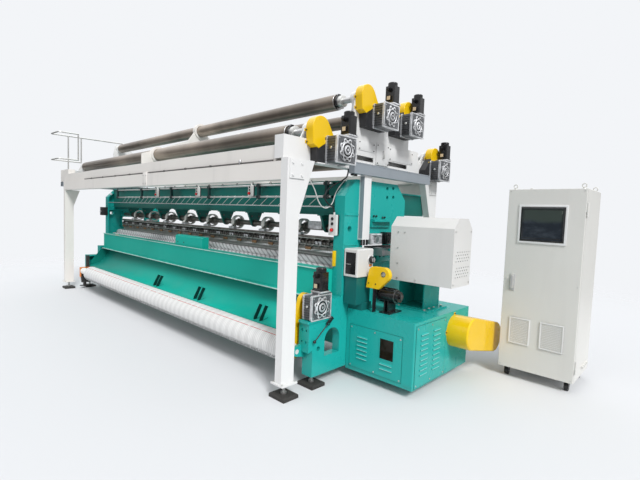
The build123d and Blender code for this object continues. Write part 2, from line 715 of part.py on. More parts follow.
def arc_sheet(centre, r, start, size, thick):
    """A bent sheet in section, from its centre, inner radius and angles in degrees."""
    arc_in = CenterArc(centre, r, start, size)
    arc_out = CenterArc(centre, r + thick, start, size)
    return make_face([arc_in, arc_out, Line(arc_in @ 0, arc_out @ 0), Line(arc_in @ 1, arc_out @ 1)])


APRON_R = 400.0
APRON_CENTRE = (300.0, 830.0)


def trough_beam():
    """The front beam with its lips, the curved apron under it and the rib pairs."""
    x0 = INNER_LEFT + SEAT
    x1 = INNER_RIGHT - SEAT
    back = TROUGH_Y + TROUGH_DEPTH
    beam = tube_box(x0, x1, TROUGH_Y, back, TROUGH_Z0, TROUGH_Z1, BEAM_SHEET)
    beam += block(x0, x1, TROUGH_Y - 16, back, TROUGH_Z1 - 9, TROUGH_Z1)
    lip = outline([(TROUGH_Y - 34, TROUGH_Z0 - 12), (TROUGH_Y + 4, TROUGH_Z0 - 12), (TROUGH_Y + 4, TROUGH_Z0 + 8), (TROUGH_Y - 34, TROUGH_Z0)])
    beam += plate_x(lip, x0, x1)
    sheet = arc_sheet(APRON_CENTRE, APRON_R, -88, 74, 7)
    beam += plate_x(sheet, x0, x1)
    beam += block(x0, x1, back - 14, back, TROUGH_Z0 - 30, TROUGH_Z0 + 5)
    beam += block(x0, x1, APRON_CENTRE[0] - 4, APRON_CENTRE[0] + 30, 406, 431)
    cheek = outline([(TROUGH_Y - 32, TROUGH_Z0), (back - 8, TROUGH_Z0), (back - 8, 640), (600, 530), (500, 468), (350, 432), (350, 500)])
    for x in (x0, x1 - 10):
        beam += plate_x(cheek, x, x + 10)
    rib = outline([(322, 415), (360, 430), (432, 572), (396, 588), (330, 460)])
    for x in RIB_X:
        for dx in (-52, 44):
            beam += plate_x(rib, x + dx, x + dx + 8)
    hood = outline([(TROUGH_Y + 14, TROUGH_Z1 - 2), (back - 8, TROUGH_Z1 - 2), (back - 8, TROUGH_Z1 + 150), (TROUGH_Y + 40, TROUGH_Z1 + 150), (TROUGH_Y + 14, TROUGH_Z1 + 130)])
    beam += plate_x(hood, HOOD_X, HOOD_X + HOOD_LENGTH)
    return beam


RIB_X = (-3180.0, -2040.0, -810.0)
HOOD_X = -3110.0
HOOD_LENGTH = 745.0
save("trough_beam", trough_beam())

BUSH_Z0 = 790.0
BUSH_Z1 = 860.0
PUSH_R = 16.0


def push_rod_positions():
    """Middle of each push rod that carries the needle bar."""
    return [x + 60 for x in hanger_positions()[::2]]


base_beam = tube_box(INNER_LEFT + SEAT, INNER_RIGHT - SEAT, 1040, 1300, 150, 430, BEAM_SHEET)
for x in hanger_positions()[1::3]:
    stand = outline([(1060, 429), (1280, 429), (1225, 690), (1115, 690)])
    base_beam += plate_x(stand, x - 12, x + 12)
    base_beam += rod_x(x - 30, x + 30, MAIN_SHAFT_Y, MAIN_SHAFT_Z, 62)
    base_beam -= rod_x(x - 40, x + 40, MAIN_SHAFT_Y, MAIN_SHAFT_Z, MAIN_SHAFT_R + RUN_FIT)
for x in push_rod_positions():
    base_beam += block(x - 15, x + 15, 1245, 1290, 429, BUSH_Z1)
    base_beam += block(x - 15, x + 15, MAIN_SHAFT_Y, 1250, BUSH_Z0, BUSH_Z1)
    base_beam += rod_z(x, MAIN_SHAFT_Y, BUSH_Z0, BUSH_Z1, PUSH_R + 14)
    base_beam -= rod_z(x, MAIN_SHAFT_Y, BUSH_Z0 - 5, BUSH_Z1 + 5, PUSH_R + RUN_FIT)
save("base_beam", base_beam)


# Knitting zone
def guide_bar_carriage():
    """The swing shaft with its arched arms, three guide bars and their clamps."""
    x0 = INNER_LEFT + 190
    x1 = INNER_RIGHT - 170
    swing = rod_x(-SPAN - FRAME_FACE_X + 10, FRAME_FACE_X - 10, SWING_Y, SWING_Z, SWING_R)
    for y, z, w, h in GUIDE_BARS:
        swing += block(x0, x1, y - w / 2, y + w / 2, z - h / 2, z + h / 2)
    stops = hanger_positions()
    for a, b in zip(stops[:-1], stops[1:]):
        x = (a + b) / 2
        arch = arc_sheet((SWING_Y - 10, SWING_Z - 125), 92, 60, 150, 34)
        swing += plate_x(arch, x - 12, x + 12)
        eye = make_hull((Pos(SWING_Y, SWING_Z) * Circle(50)).edges() + (Pos(SWING_Y - 10, SWING_Z - 20) * Circle(36)).edges())
        swing += plate_x(eye, x - 20, x + 20)
        foot = outline([(SWING_Y - 135, SWING_Z - 190), (SWING_Y - 95, SWING_Z - 130), (SWING_Y - 70, SWING_Z - 160), (SWING_Y - 60, SWING_Z - 235), (SWING_Y - 120, SWING_Z - 235)])
        swing += plate_x(foot, x - 12, x + 12)
    clamps = []
    count = int((x1 - x0) // CLAMP_PITCH)
    for i in range(count):
        x = x0 + CLAMP_PITCH * (i + 0.5)
        shape = Pos(x, SWING_Y - 112, SWING_Z - 160) * Rot(0, 28, 0) * Box(16, 42, 128)
        clamps.append(shape)
    return swing.fuse(*clamps)


GUIDE_BARS = (
    (SWING_Y - 110, SWING_Z - 100, 46.0, 26.0),
    (SWING_Y - 118, SWING_Z - 160, 34.0, 22.0),
    (SWING_Y - 104, SWING_Z - 218, 46.0, 28.0),
)
CLAMP_PITCH = 106.0
save("guide_bar_carriage", guide_bar_carriage())

shog_bar = block(INNER_LEFT - 70, 345, SHOG_Y - SHOG_W / 2, SHOG_Y + SHOG_W / 2, SHOG_Z - SHOG_H / 2, SHOG_Z + SHOG_H / 2)
for i in range(16):
    x = INNER_LEFT + 320 + 350 * i
    shog_bar += block(x - 30, x + 30, SHOG_Y - 24, SHOG_Y + 24, SHOG_Z - 30, SHOG_Z + 26)
shog_bar += block(92, 210, SHOG_Y - 40, SHOG_Y + 50, SHOG_Z - 32, SHOG_Z + 44)
save("shog_bar", shog_bar)

LIFT = 10.0
ECCENTRIC_R = 52.0
needle_bar = block(INNER_LEFT + 60, INNER_RIGHT - 60, NEEDLE_Y - 28, NEEDLE_Y + 28, NEEDLE_Z - 22, NEEDLE_Z + 22)
needle_bar += block(INNER_LEFT + 80, INNER_RIGHT - 80, NEEDLE_Y - 6, NEEDLE_Y + 6, NEEDLE_Z + 20, NEEDLE_Z + 52)
for x in push_rod_positions():
    needle_bar += rod_z(x, MAIN_SHAFT_Y, MAIN_SHAFT_Z + ECCENTRIC_R + 14 + LIFT, NEEDLE_Z + 2, PUSH_R)
    needle_bar += block(x - 20, x + 20, NEEDLE_Y + 20, MAIN_SHAFT_Y + 20, NEEDLE_Z - 18, NEEDLE_Z + 10)
save("needle_bar", needle_bar)

main_shaft = rod_x(INNER_LEFT - FRAME_THICK + 20, 300, MAIN_SHAFT_Y, MAIN_SHAFT_Z, MAIN_SHAFT_R)
for x in push_rod_positions():
    main_shaft += rod_x(x - 20, x + 20, MAIN_SHAFT_Y + 12, MAIN_SHAFT_Z, ECCENTRIC_R)
save("main_shaft", main_shaft)


# Take-down and batching rolls
def journal_roll(x0, x1, y, z, r, stub_left, stub_right):
    """A roll between two journals."""
    roll = rod_x(x0, x1, y, z, r)
    roll = chamfer(roll.edges(), 3)
    roll += rod_x(stub_left, x0 + 1, y, z, ROLL_STUB_R)
    return roll + rod_x(x1 - 1, stub_right, y, z, ROLL_STUB_R)


for name, y, z in TAKE_ROLLS:
    roll = journal_roll(INNER_LEFT + 26, INNER_RIGHT - 26, y, z, ROLL_R, INNER_LEFT - 90, INNER_RIGHT + 90)
    save("take_down_roller_" + name, roll)
press = journal_roll(INNER_LEFT + 30, INNER_RIGHT - 60, PRESS_Y, PRESS_Z, PRESS_R, INNER_LEFT - 60, INNER_RIGHT + 60)
save("press_roller", press)

BATCH_X0 = INNER_LEFT + 130
BATCH_X1 = INNER_RIGHT - 75
CORE_LENGTH = 420.0
CORE_R = 58.0
batch = journal_roll(BATCH_X0 + CORE_LENGTH, BATCH_X1, BATCH_Y, BATCH_Z, BATCH_R, BATCH_X0 - 60, INNER_RIGHT + 28)
batch += rod_x(BATCH_X0, BATCH_X0 + CORE_LENGTH + 5, BATCH_Y, BATCH_Z, CORE_R)
batch += chain_wheel(INNER_RIGHT - 32, INNER_RIGHT - 22, BATCH_Y, BATCH_Z, 62, 18)
save("batch_roll", batch)


def take_up_guard():
    """The flat guard over the chain from the take-up gearbox down to the roll."""
    x0 = INNER_RIGHT - 46
    x1 = INNER_RIGHT - SEAT
    face = capsule((BATCH_Y, BATCH_Z), (TAKE_Y - 60, TAKE_Z + 40), 69, 74)
    guard = plate_x(face, x0, x1)
    guard -= plate_x(offset(face, -GUARD_WALL), x0 + GUARD_WALL, x1 + 1)
    guard -= rod_x(x0 - 5, x0 + 10, BATCH_Y, BATCH_Z, ROLL_STUB_R + FREE)
    return guard


save("take_up_guard", take_up_guard())


def left_bracket():
    """The bearing bracket of the batch roll at the far end, bolted to the frame."""
    x1 = BATCH_X0 - 14
    x0 = x1 - 40
    post_y = FRAME_FRONT + 4
    low = Pos((BATCH_Y - 28 + post_y) / 2, BATCH_Z - 156) * Rectangle(post_y - BATCH_Y + 28, 126)
    plate = make_hull((Pos(BATCH_Y, BATCH_Z) * Circle(50)).edges() + low.edges())
    bracket = plate_x(plate, x0, x1)
    bracket += block(INNER_LEFT - 90, x1, FRAME_FRONT - 24 - SEAT, FRAME_FRONT - SEAT, BATCH_Z - 120, BATCH_Z + 40)
    bracket += block(x0, x1, post_y - 52, post_y, BATCH_Z - 100, BATCH_Z + 283)
    bracket += block(x0 - 4, x1 + 10, BATCH_Y - 55, post_y + 3, BATCH_Z + 54, BATCH_Z + 66)
    bracket += block(x0 - 4, x1 + 10, BATCH_Y - 55, BATCH_Y - 43, BATCH_Z - 108, BATCH_Z + 55)
    bracket += block(x0 - 4, x1 + 10, BATCH_Y - 55, BATCH_Y, BATCH_Z - 112, BATCH_Z - 100)
    bracket += block(x0 - 20, x1 + 12, BATCH_Y - 49, post_y + 50, 50, 60)
    bracket += block(x0 + 8, x1 - 8, BATCH_Y, BATCH_Y + 50, 59, BATCH_Z - 200)
    return bracket - rod_x(x0 - 5, x1 + 5, BATCH_Y, BATCH_Z, ROLL_STUB_R + RUN_FIT)


save("roll_bracket_left", left_bracket())


def tension_lever():
    """A hub on the frame's pin with a thin rod down to a round knob."""
    x0 = FRAME_FACE_X + 14 + SEAT
    end_y = LEVER_Y - 168
    end_z = LEVER_Z - 136
    lever = rod_x(x0, x0 + 22, LEVER_Y, LEVER_Z, 17)
    grip = Pos(x0 + 11, LEVER_Y + 26, LEVER_Z + 22) * Rot(-52, 0, 0) * Box(18, 26, 84)
    lever += grip
    way = Line((x0 + 11, LEVER_Y, LEVER_Z), (x0 + 11, end_y, end_z))
    lever += sweep(Plane(way @ 0, z_dir=way % 0) * Circle(5), way)
    lever += Pos(x0 + 11, end_y, end_z) * Sphere(15)
    return lever - rod_x(x0 - 5, x0 + 30, LEVER_Y, LEVER_Z, LEVER_PIN_R + RUN_FIT)


save("tension_lever", tension_lever())

# Switch rails, switch boxes and their red buttons
SWITCH_Y = 660.0
RAIL_LEVELS = (1722.0, 1850.0)
RAIL_R = 11.0
SWITCHES = (
    (-3768.0, SWITCH_Y - 38, 1790.0, 62.0, 128.0),
    (-2534.0, SWITCH_Y - 38, 1790.0, 62.0, 128.0),
    (-1353.0, SWITCH_Y - 38, 1790.0, 62.0, 128.0),
    (-62.0, FRAME_UPPER - 24.5 - SEAT, 1452.0, 88.0, 196.0),
)
BOX_DEPTH = 48.0
GLAND_H = 22.0
BUTTON_R = 13.0
BUTTON_TRAVEL = 5.0


def switch_rails():
    """Two round rails on clamp arms from the main beam."""
    x0 = INNER_LEFT + 420
    x1 = INNER_RIGHT - 60
    rails = rod_x(x0, x1, SWITCH_Y, RAIL_LEVELS[0], RAIL_R) + rod_x(x0, x1, SWITCH_Y, RAIL_LEVELS[1], RAIL_R)
    for i in range(6):
        x = x0 + 60 + (x1 - x0 - 120) * i / 5
        rails += block(x - 14, x + 14, SWITCH_Y - 17, SWITCH_Y + 17, RAIL_LEVELS[0] - 24, RAIL_LEVELS[1] + 24)
        for z in RAIL_LEVELS:
            rails += block(x - 12, x + 12, SWITCH_Y + 10, MAIN_Y0 - SEAT, z - 12, z + 12)
    return rails


def switch_box(x, y, z, w, h):
    """A hanging push-button box with a cable gland on top."""
    shell = block(x - w / 2, x + w / 2, y - BOX_DEPTH / 2, y + BOX_DEPTH / 2, z - h / 2, z + h / 2)
    shell = fillet(shell.edges().filter_by(Axis.Y), 8)
    shell += rod_z(x, y, z + h / 2 - 2, z + h / 2 + GLAND_H, 9)
    face = y - BOX_DEPTH / 2
    for dz in (0.30, 0.06):
        shell += rod_y(x, face - 7, face + 2, z + h * dz, w * 0.17)
    bore_z = z - h * 0.24
    shell += rod_y(x, face - 3, face + 1, bore_z, BUTTON_R + 5)
    shell -= rod_y(x, face - 6, face + 22, bore_z, BUTTON_R * 0.6 + RUN_FIT)
    return shell


def stop_button(x, y, z, w, h):
    """A mushroom button on its stem."""
    face = y - BOX_DEPTH / 2
    bore_z = z - h * 0.24
    head = rod_y(x, face - 3 - BUTTON_TRAVEL - 1 - 10, face - 3 - BUTTON_TRAVEL - 1, bore_z, BUTTON_R + 3)
    head = fillet(head.faces().sort_by(Axis.Y)[0].edges(), 4)
    return head + rod_y(x, face - 10, face + 15, bore_z, BUTTON_R * 0.6)


save("switch_rails", switch_rails())
boxes = []
for x, y, z, w, h in SWITCHES:
    box = switch_box(x, y, z, w, h)
    if h < 150:
        hook = block(x - 9, x + 9, y + BOX_DEPTH / 2 - 2, SWITCH_Y - RAIL_R - SEAT, RAIL_LEVELS[1] - 40, RAIL_LEVELS[1] + 12)
        box += hook
    boxes.append(box)
save("switch_boxes", Compound(children=boxes))
for number, place in enumerate(SWITCHES, start=1):
    save("stop_button_" + str(number), stop_button(*place))


# Drive housing, its panels and what stands on it
def louvre(x0, x1, y, z, out):
    """A pressed louvre standing out of a panel that looks along -Y."""
    face = [(y + 1, z - 9), (y - out, z - 7), (y + 1, z + 9)]
    return plate_x(outline(face), x0, x1)


def louvre_side(x, y0, y1, z, out):
    """A pressed louvre standing out of a panel that looks along +X."""
    return plate_y(outline([(x - 1, z - 9), (x + out, z - 7), (x - 1, z + 9)]), y0, y1)


FRONT_PANEL = (94.0, 668.0, 118.0, 520.0)
GLASS = (438.0, 582.0, 281.0, 463.0)
SIDE_PANEL = (778.0, 1312.0, 92.0, 632.0)


def drive_housing():
    """The sheet steel housing of the drive, with openings behind both panels."""
    house = block(HOUSE_X0, HOUSE_X1, HOUSE_Y0, HOUSE_Y1, HOUSE_Z0, HOUSE_Z1)
    house = chamfer(house.edges().filter_by(Axis.Z), 5)
    s = HOUSE_SHEET
    house -= block(HOUSE_X0 + s, HOUSE_X1 - s, HOUSE_Y0 + s, HOUSE_Y1 - s, HOUSE_Z0 - 1, HOUSE_Z1 - s)
    x0, x1, z0, z1 = FRONT_PANEL
    house -= block(x0 + 40, x1 - 40, HOUSE_Y0 - 5, HOUSE_Y0 + 20, z0 + 40, z1 - 40)
    y0, y1, z0, z1 = SIDE_PANEL
    house -= block(HOUSE_X1 - 20, HOUSE_X1 + 5, y0 + 45, y1 - 45, z0 + 45, z1 - 45)
    house -= rod_x(HOUSE_X0 - 5, HOUSE_X0 + 20, MAIN_SHAFT_Y, MAIN_SHAFT_Z, MAIN_SHAFT_R + 6)
    house -= rod_x(HOUSE_X1 - 20, HOUSE_X1 + 5, BELT_Y, BELT_Z, 30)
    for x in (HOUSE_X0 + 90, HOUSE_X1 - 270):
        for y in (HOUSE_Y0 + 270, HOUSE_Y1 - 90):
            house += block(x - 45, x + 45, y - 45, y + 45, 0, HOUSE_Z0 + 2)
    house += block(HOUSE_X0 + 3, HOUSE_X1 - 3, HOUSE_Y0 + 3, HOUSE_Y1 - 3, HOUSE_Z0, HOUSE_Z0 + 6)
    return house


BELT_Y = 1520.0
BELT_Z = 452.0
save("drive_housing", drive_housing())

x0, x1, z0, z1 = FRONT_PANEL
front_panel = plate_y(Pos((x0 + x1) / 2, (z0 + z1) / 2) * RectangleRounded(x1 - x0, z1 - z0, 8), HOUSE_Y0 - PANEL_SHEET - SEAT, HOUSE_Y0 - SEAT)
panel_face = HOUSE_Y0 - PANEL_SHEET - SEAT
for i in range(6):
    front_panel += louvre(184, 302, panel_face, 224 + 40 * i, 9)
for i in range(2):
    front_panel += louvre(446, 576, panel_face, 196 + 44 * i, 9)
gx0, gx1, gz0, gz1 = GLASS
front_panel -= block(gx0, gx1, HOUSE_Y0 - 20, HOUSE_Y0 + 5, gz0, gz1)
front_panel += block(gx0 - 9, gx1 + 9, panel_face - 3, panel_face + 1, gz0 - 9, gz1 + 9) - block(gx0, gx1, HOUSE_Y0 - 20, HOUSE_Y0 + 5, gz0, gz1)
front_panel += block(gx0 - 1, gx1 + 1, panel_face + 1, panel_face + 2.5, gz0 - 1, gz1 + 1)
y0, y1, z0, z1 = SIDE_PANEL
side_face = HOUSE_X1 + SEAT + PANEL_SHEET
side_panel = plate_x(Pos((y0 + y1) / 2, (z0 + z1) / 2) * RectangleRounded(y1 - y0, z1 - z0, 8), HOUSE_X1 + SEAT, side_face)
for i in range(9):
    side_panel += louvre_side(side_face, 852, 974, 200 + 44 * i, 9)
    side_panel += louvre_side(side_face, 1074, 1198, 200 + 44 * i, 9)
save("housing_panels", Compound(children=[front_panel, side_panel]))


def motor_guard():
    """The long round-ended guard over the belt wheels on the outer side."""
    x0 = HOUSE_X1 + SEAT
    x1 = x0 + 206
    face = slot_between((1482, 478), (2040, 350), 152)
    guard = plate_x(face, x0, x1)
    guard = chamfer(guard.faces().sort_by(Axis.X)[-1].edges(), 10)
    guard -= plate_x(offset(face, -GUARD_WALL), x0 - 1, x1 - 11)
    guard += block(x0, x0 + 4, 1317, 1333, 462, 500)
    guard += block(x0, x0 + 4, 1470, 1504, 627, 652)
    return guard


save("motor_guard", motor_guard())

MOTOR_X = 430.0
MOTOR_Z = BELT_Z - 120
MOTOR_R = 118.0
main_motor = rod_x(MOTOR_X - 190, MOTOR_X + 190, BELT_Y, MOTOR_Z, MOTOR_R)
main_motor += rod_x(MOTOR_X + 185, MOTOR_X + 215, BELT_Y, MOTOR_Z, MOTOR_R - 14)
main_motor += block(MOTOR_X - 60, MOTOR_X + 60, BELT_Y - 110, BELT_Y - 60, BELT_Z - 60, BELT_Z + 30)
main_motor += block(MOTOR_X - 130, MOTOR_X + 130, BELT_Y - 120, BELT_Y + 120, HOUSE_Z0 + 6 + SEAT, HOUSE_Z0 + 22)
main_motor += block(MOTOR_X - 110, MOTOR_X + 110, BELT_Y - 70, BELT_Y + 70, HOUSE_Z0 + 20, BELT_Z - 180)
main_motor += rod_x(MOTOR_X + 210, HOUSE_X1 + 70, BELT_Y, BELT_Z, 22)
main_motor += block(MOTOR_X + 200, MOTOR_X + 240, BELT_Y - 30, BELT_Y + 30, BELT_Z - 140, BELT_Z + 26)
main_motor += rod_x(HOUSE_X1 + 34, HOUSE_X1 + 96, BELT_Y, BELT_Z, 92)
save("main_motor", main_motor)

# Pedestal and cover of the pattern drive
PED = (320.0, 598.0, 1205.0, 1505.0)
PED_TOP = 952.0
x0, x1, y0, y1 = PED
pedestal = block(x0 - 38, x1 + 60, y0 - 40, y1 + 60, HOUSE_Z1 + SEAT, HOUSE_Z1 + 16)
pedestal += block(x0, x1, y0, y1, HOUSE_Z1 + 15, PED_TOP - SEAT)
pedestal -= block(x0 + 12, x1 - 12, y0 - 5, y1 - 16, HOUSE_Z1 + 24, PED_TOP - 16)
pedestal += block(x0 - 20, x1 + 120, y0 - 20, y1 - 20, PED_TOP - 14, PED_TOP - SEAT)
for x in (x0 + 20, x1 + 20):
    slot = Pos(x, y0 - 22) * SlotOverall(60, 14)
    pedestal -= plate_z(slot, HOUSE_Z1 - 5, HOUSE_Z1 + 30)
for y in (y0 + 40, y0 + 130, y1 - 20):
    pedestal += plate_z(Pos(x1 + 34, y) * hexagon(13), HOUSE_Z1 + 15, HOUSE_Z1 + 28)
save("pedestal", pedestal)

COVER = (300.0, 935.0, 1050.0, 1410.0)
COVER_EAVES = 1465.0
COVER_TOP = 1557.0
COVER_SHEET = 2.0


def pattern_cover():
    """The sheet cover of the pattern drive with a sloped roof and a holed end."""
    x0, x1, y0, y1 = COVER
    c = 88.0
    face = outline([(y0, PED_TOP), (y1, PED_TOP), (y1, COVER_EAVES), (y1 - c, COVER_TOP), (y0 + c, COVER_TOP), (y0, COVER_EAVES)])
    cover = plate_x(face, x0, x1)
    cover -= plate_x(offset(face, -COVER_SHEET), x0 + COVER_SHEET, x1 - COVER_SHEET)
    cover -= block(x0 + 60, x1 - 60, y0 + 60, y1 - 60, PED_TOP - 5, PED_TOP + 10)
    cover -= block(x0 - 5, x0 + 5, SHOG_Y - 27, SHOG_Y + 40, SHOG_Z - 46, SHOG_Z + 46)
    holes = []
    for group in (1040.0, 1180.0):
        for row in range(4):
            for i in range(6):
                y = y0 + 62 + 46 * i + 23 * (row % 2)
                holes.append(plate_x(Pos(y, group + 27 * row) * hexagon(7.5), x1 - 5, x1 + 5))
    return cover.cut(*holes)


save("pattern_cover", pattern_cover())

# Lubricator with its knob, pump motor and small guard
LUB = (45.0, 212.0, 660.0, 905.0)
LUB_Z0 = 985.0
LUB_Z1 = 1243.0
KNOB_Y = 850.0
KNOB_Z = 1140.0
x0, x1, y0, y1 = LUB
lubricator = block(x0, x1, y0, y1, LUB_Z0, LUB_Z1)
lubricator = fillet(lubricator.edges().filter_by(Axis.Z), 14)
lubricator = chamfer(lubricator.faces().sort_by(Axis.Z)[-1].edges(), 10)
lubricator -= block(x0 + 22, x1 - 22, y0 - 5, y0 + 8, LUB_Z0 + 20, LUB_Z1 - 34)
lubricator += block(x0 + 12, x1 - 14, y0 + 14, y1 - 20, HOUSE_Z1 + 60, LUB_Z0 + 2)
lubricator += block(x0 + 2, x1 - 4, y0 + 4 + 90, y1 - 4, HOUSE_Z1 + SEAT, HOUSE_Z1 + 70)
lubricator += rod_x(x1 - 2, x1 + 8, KNOB_Y, KNOB_Z, 40)
lubricator -= rod_x(x1 - 30, x1 + 9, KNOB_Y, KNOB_Z, 9 + RUN_FIT)
save("lubricator", lubricator)
knob = rod_x(x1 + 8 + SEAT, x1 + 40, KNOB_Y, KNOB_Z, 31)
knob = chamfer(knob.faces().sort_by(Axis.X)[-1].edges(), 5)
knob += block(x1 + 38, x1 + 50, KNOB_Y - 6, KNOB_Y + 6, KNOB_Z - 24, KNOB_Z + 24)
knob += rod_x(x1 - 24, x1 + 10, KNOB_Y, KNOB_Z, 9)
save("lubricator_knob", knob)

PUMP_Y = 912.0
PUMP_Z = 824.0
PUMP_X0 = 296.0
PUMP_R = 64.0
PUMP_GUARD_Y = 790.0
PUMP_GUARD_DEPTH = 44.0
pump = rod_x(PUMP_X0, PUMP_X0 + 190, PUMP_Y, PUMP_Z, PUMP_R)
pump += rod_x(PUMP_X0 + 189, PUMP_X0 + 225, PUMP_Y, PUMP_Z, PUMP_R - 14)
pump += rod_x(PUMP_X0 + 224, PUMP_X0 + 240, PUMP_Y, PUMP_Z, 16)
for i in range(12):
    fin = block(PUMP_X0 + 20, PUMP_X0 + 170, PUMP_Y + PUMP_R - 4, PUMP_Y + PUMP_R + 8, PUMP_Z - 2, PUMP_Z + 2)
    pump += fin.rotate(Axis((PUMP_X0, PUMP_Y, PUMP_Z), (1, 0, 0)), 30 * i)
pump += block(PUMP_X0 + 60, PUMP_X0 + 172, PUMP_Y - 84, PUMP_Y + 120, HOUSE_Z1 + SEAT, HOUSE_Z1 + 14)
pump += block(PUMP_X0 + 90, PUMP_X0 + 102, PUMP_Y - 60, PUMP_Y + 60, HOUSE_Z1 + 12, PUMP_Z - 30)
pump += block(PUMP_X0 + 130, PUMP_X0 + 142, PUMP_Y - 60, PUMP_Y + 60, HOUSE_Z1 + 12, PUMP_Z - 30)
save("pump_motor", pump)

pump_top = (Pos(405, 1022) * Circle(68)).edges() + (Pos(298, 1034) * Circle(54)).edges()
pump_face = make_hull(pump_top + (Pos(291, 893) * Rectangle(138, 16)).edges())
pump_y1 = PUMP_GUARD_Y + PUMP_GUARD_DEPTH
pump_guard = plate_y(pump_face, PUMP_GUARD_Y, pump_y1)
pump_guard = chamfer(pump_guard.faces().sort_by(Axis.Y)[0].edges(), 3)
pump_guard -= plate_y(offset(pump_face, -GUARD_WALL), PUMP_GUARD_Y + 4, pump_y1 + 1)
pump_guard -= rod_y(408, PUMP_GUARD_Y - 5, PUMP_GUARD_Y + 10, 1028, 21)
pump_guard += block(300, 312, PUMP_GUARD_Y + 3, pump_y1, HOUSE_Z1 + SEAT, 890)
save("pump_guard", pump_guard)

# Wiring ducts
DUCT_X1 = 104.0
wiring_duct = block(FRAME_FACE_X + SEAT, DUCT_X1, 858, 966, 1320, 1935)
wiring_duct = chamfer(wiring_duct.edges().filter_by(Axis.Z).sort_by(Axis.X)[-2:], 4)
save("wiring_duct", wiring_duct)
cross_duct = block(DUCT_X1 - 42, DUCT_X1 + 24, 664, 2060, 1935 + SEAT, 2040)
cross_duct += block(DUCT_X1 - 44, DUCT_X1 + 26, 662, 2062, 2028, 2038)
save("cross_duct", cross_duct)


# Cables that hang from the cross head, each through a route of (y, z) at its own x
def cable(route, r):
    """A round cable along straight runs joined by arcs as large as the runs allow."""
    points = [Vector(*point) for point in route]
    runs = [b - a for a, b in zip(points[:-1], points[1:])]
    radii = []
    for first, second in zip(runs[:-1], runs[1:]):
        turn = math.radians(first.get_angle(second))
        radii.append(0.45 * min(first.length, second.length) / math.tan(turn / 2))
    way = FilletPolyline(*points, radius=radii)
    print("cable length", round(way.length), "smallest radius", round(min(radii)))
    return sweep(Plane(way @ 0, z_dir=way % 0) * Circle(r), way)


GLAND_Z = SWITCHES[3][2] + SWITCHES[3][4] / 2 + GLAND_H
CABLE_BLACK = (
    (-50, 790, HEAD_Z0),
    (-50, 790, 1925),
    (-52, 722, 1882),
    (-50, 635, 1845),
    (-54, 552, 1802),
    (-56, 490, 1752),
    (-58, 478, 1700),
    (-60, 508, 1662),
    (-62, 548, 1640),
    (-62, 590, 1630),
    (-62, 620, 1602),
    (-62, SWITCHES[3][1], GLAND_Z + 1.5),
)
CABLE_WHITE = (
    (-76, 930, HEAD_Z0),
    (-76, 930, 1945),
    (-76, 862, 1925),
    (-76, 786, 1893),
    (-77, 722, 1840),
    (-78, 668, 1782),
    (-78, 636, 1722),
    (-80, 620, 1668),
    (-82, 578, 1620),
    (-82, 520, 1604),
    (-80, 462, 1622),
    (-78, 415, 1668),
    (-77, 385, 1730),
    (-76, 350, 1790),
    (-76, 305, 1835),
    (-76, 282, 1900),
    (-76, 275, 1955),
    (-76, 275, HEAD_Z0),
)
save("cable_black", cable(CABLE_BLACK, 7))
save("cable_white", cable(CABLE_WHITE, 4.5))

# Walkway at the far end: channels under the rails and the hand rail
WALK_X = -SPAN - 210
walk_top = BEAM_Z + BEAM_HEIGHT - 1 - SEAT
walk = block(WALK_X - 60, WALK_X + 60, -60, REAR_Y + 60, 1889, walk_top)
walk -= block(WALK_X - 54, WALK_X + 54, -70, REAR_Y + 70, 1895, 1926)
walk -= block(WALK_X - 54, WALK_X + 54, -70, REAR_Y + 70, 1932, 1964)
save("walkway_channels", walk)

HAND_R = 12.5
POST_R = 11.0
HAND_TOP = 2825.0
HAND_MID = 2360.0


def railing():
    """The bent hand rail and mid rail on posts over the far end."""
    long_x = -SPAN - 172
    near_x = long_x + 400
    rails = []
    for z, y_end in ((HAND_TOP, 1010), (HAND_MID, 262)):
        way = FilletPolyline((near_x, 100, z), (near_x, -215, z), (long_x, -235, z), (long_x, y_end, z), radius=[40, 40])
        rails.append(sweep(Plane(way @ 0, z_dir=way % 0) * Circle(HAND_R), way))
    whole = rails[0] + rails[1]
    whole += rod_z(near_x, 94, HAND_MID - 4, HAND_TOP, POST_R)
    whole += rod_z(long_x, 40, RAIL_TOP + SEAT, HAND_TOP, POST_R)
    whole += rod_z(long_x, 1004, HEAD_Z1 + 30, HAND_TOP, POST_R)
    whole += rod_z(long_x, 256, HAND_MID - 1, HAND_TOP, POST_R)
    whole += plate_z(Pos(long_x, 40) * Rectangle(70, 70), RAIL_TOP + SEAT, RAIL_TOP + 9)
    foot = block(long_x - 10, LEFT_HEAD_X - HEAD_WIDTH / 2 - SEAT, 980, 1040, HEAD_Z1 - 60, HEAD_Z1 + 40)
    return whole + foot


save("railing", railing())


# Control cabinet
def eye_bolt(x, y, z):
    """A lifting eye standing on a collar."""
    eye = Pos(x, y, z + 30) * Rot(90, 0, 0) * Torus(17, 5)
    return eye + rod_z(x, y, z - 2, z + 14, 11)


def castor(x, y):
    """A fixed fork with its wheel under the cabinet."""
    fork = block(x - 30, x + 30, y - 42, y + 42, CAB_Z - 8, CAB_Z + 2)
    fork += block(x - 20, x - 15, y - 22, y + 30, 26, CAB_Z - 6)
    fork += block(x + 15, x + 20, y - 22, y + 30, 26, CAB_Z - 6)
    return fork + rod_x(x - 16, x + 16, y + 8, 37, 37)


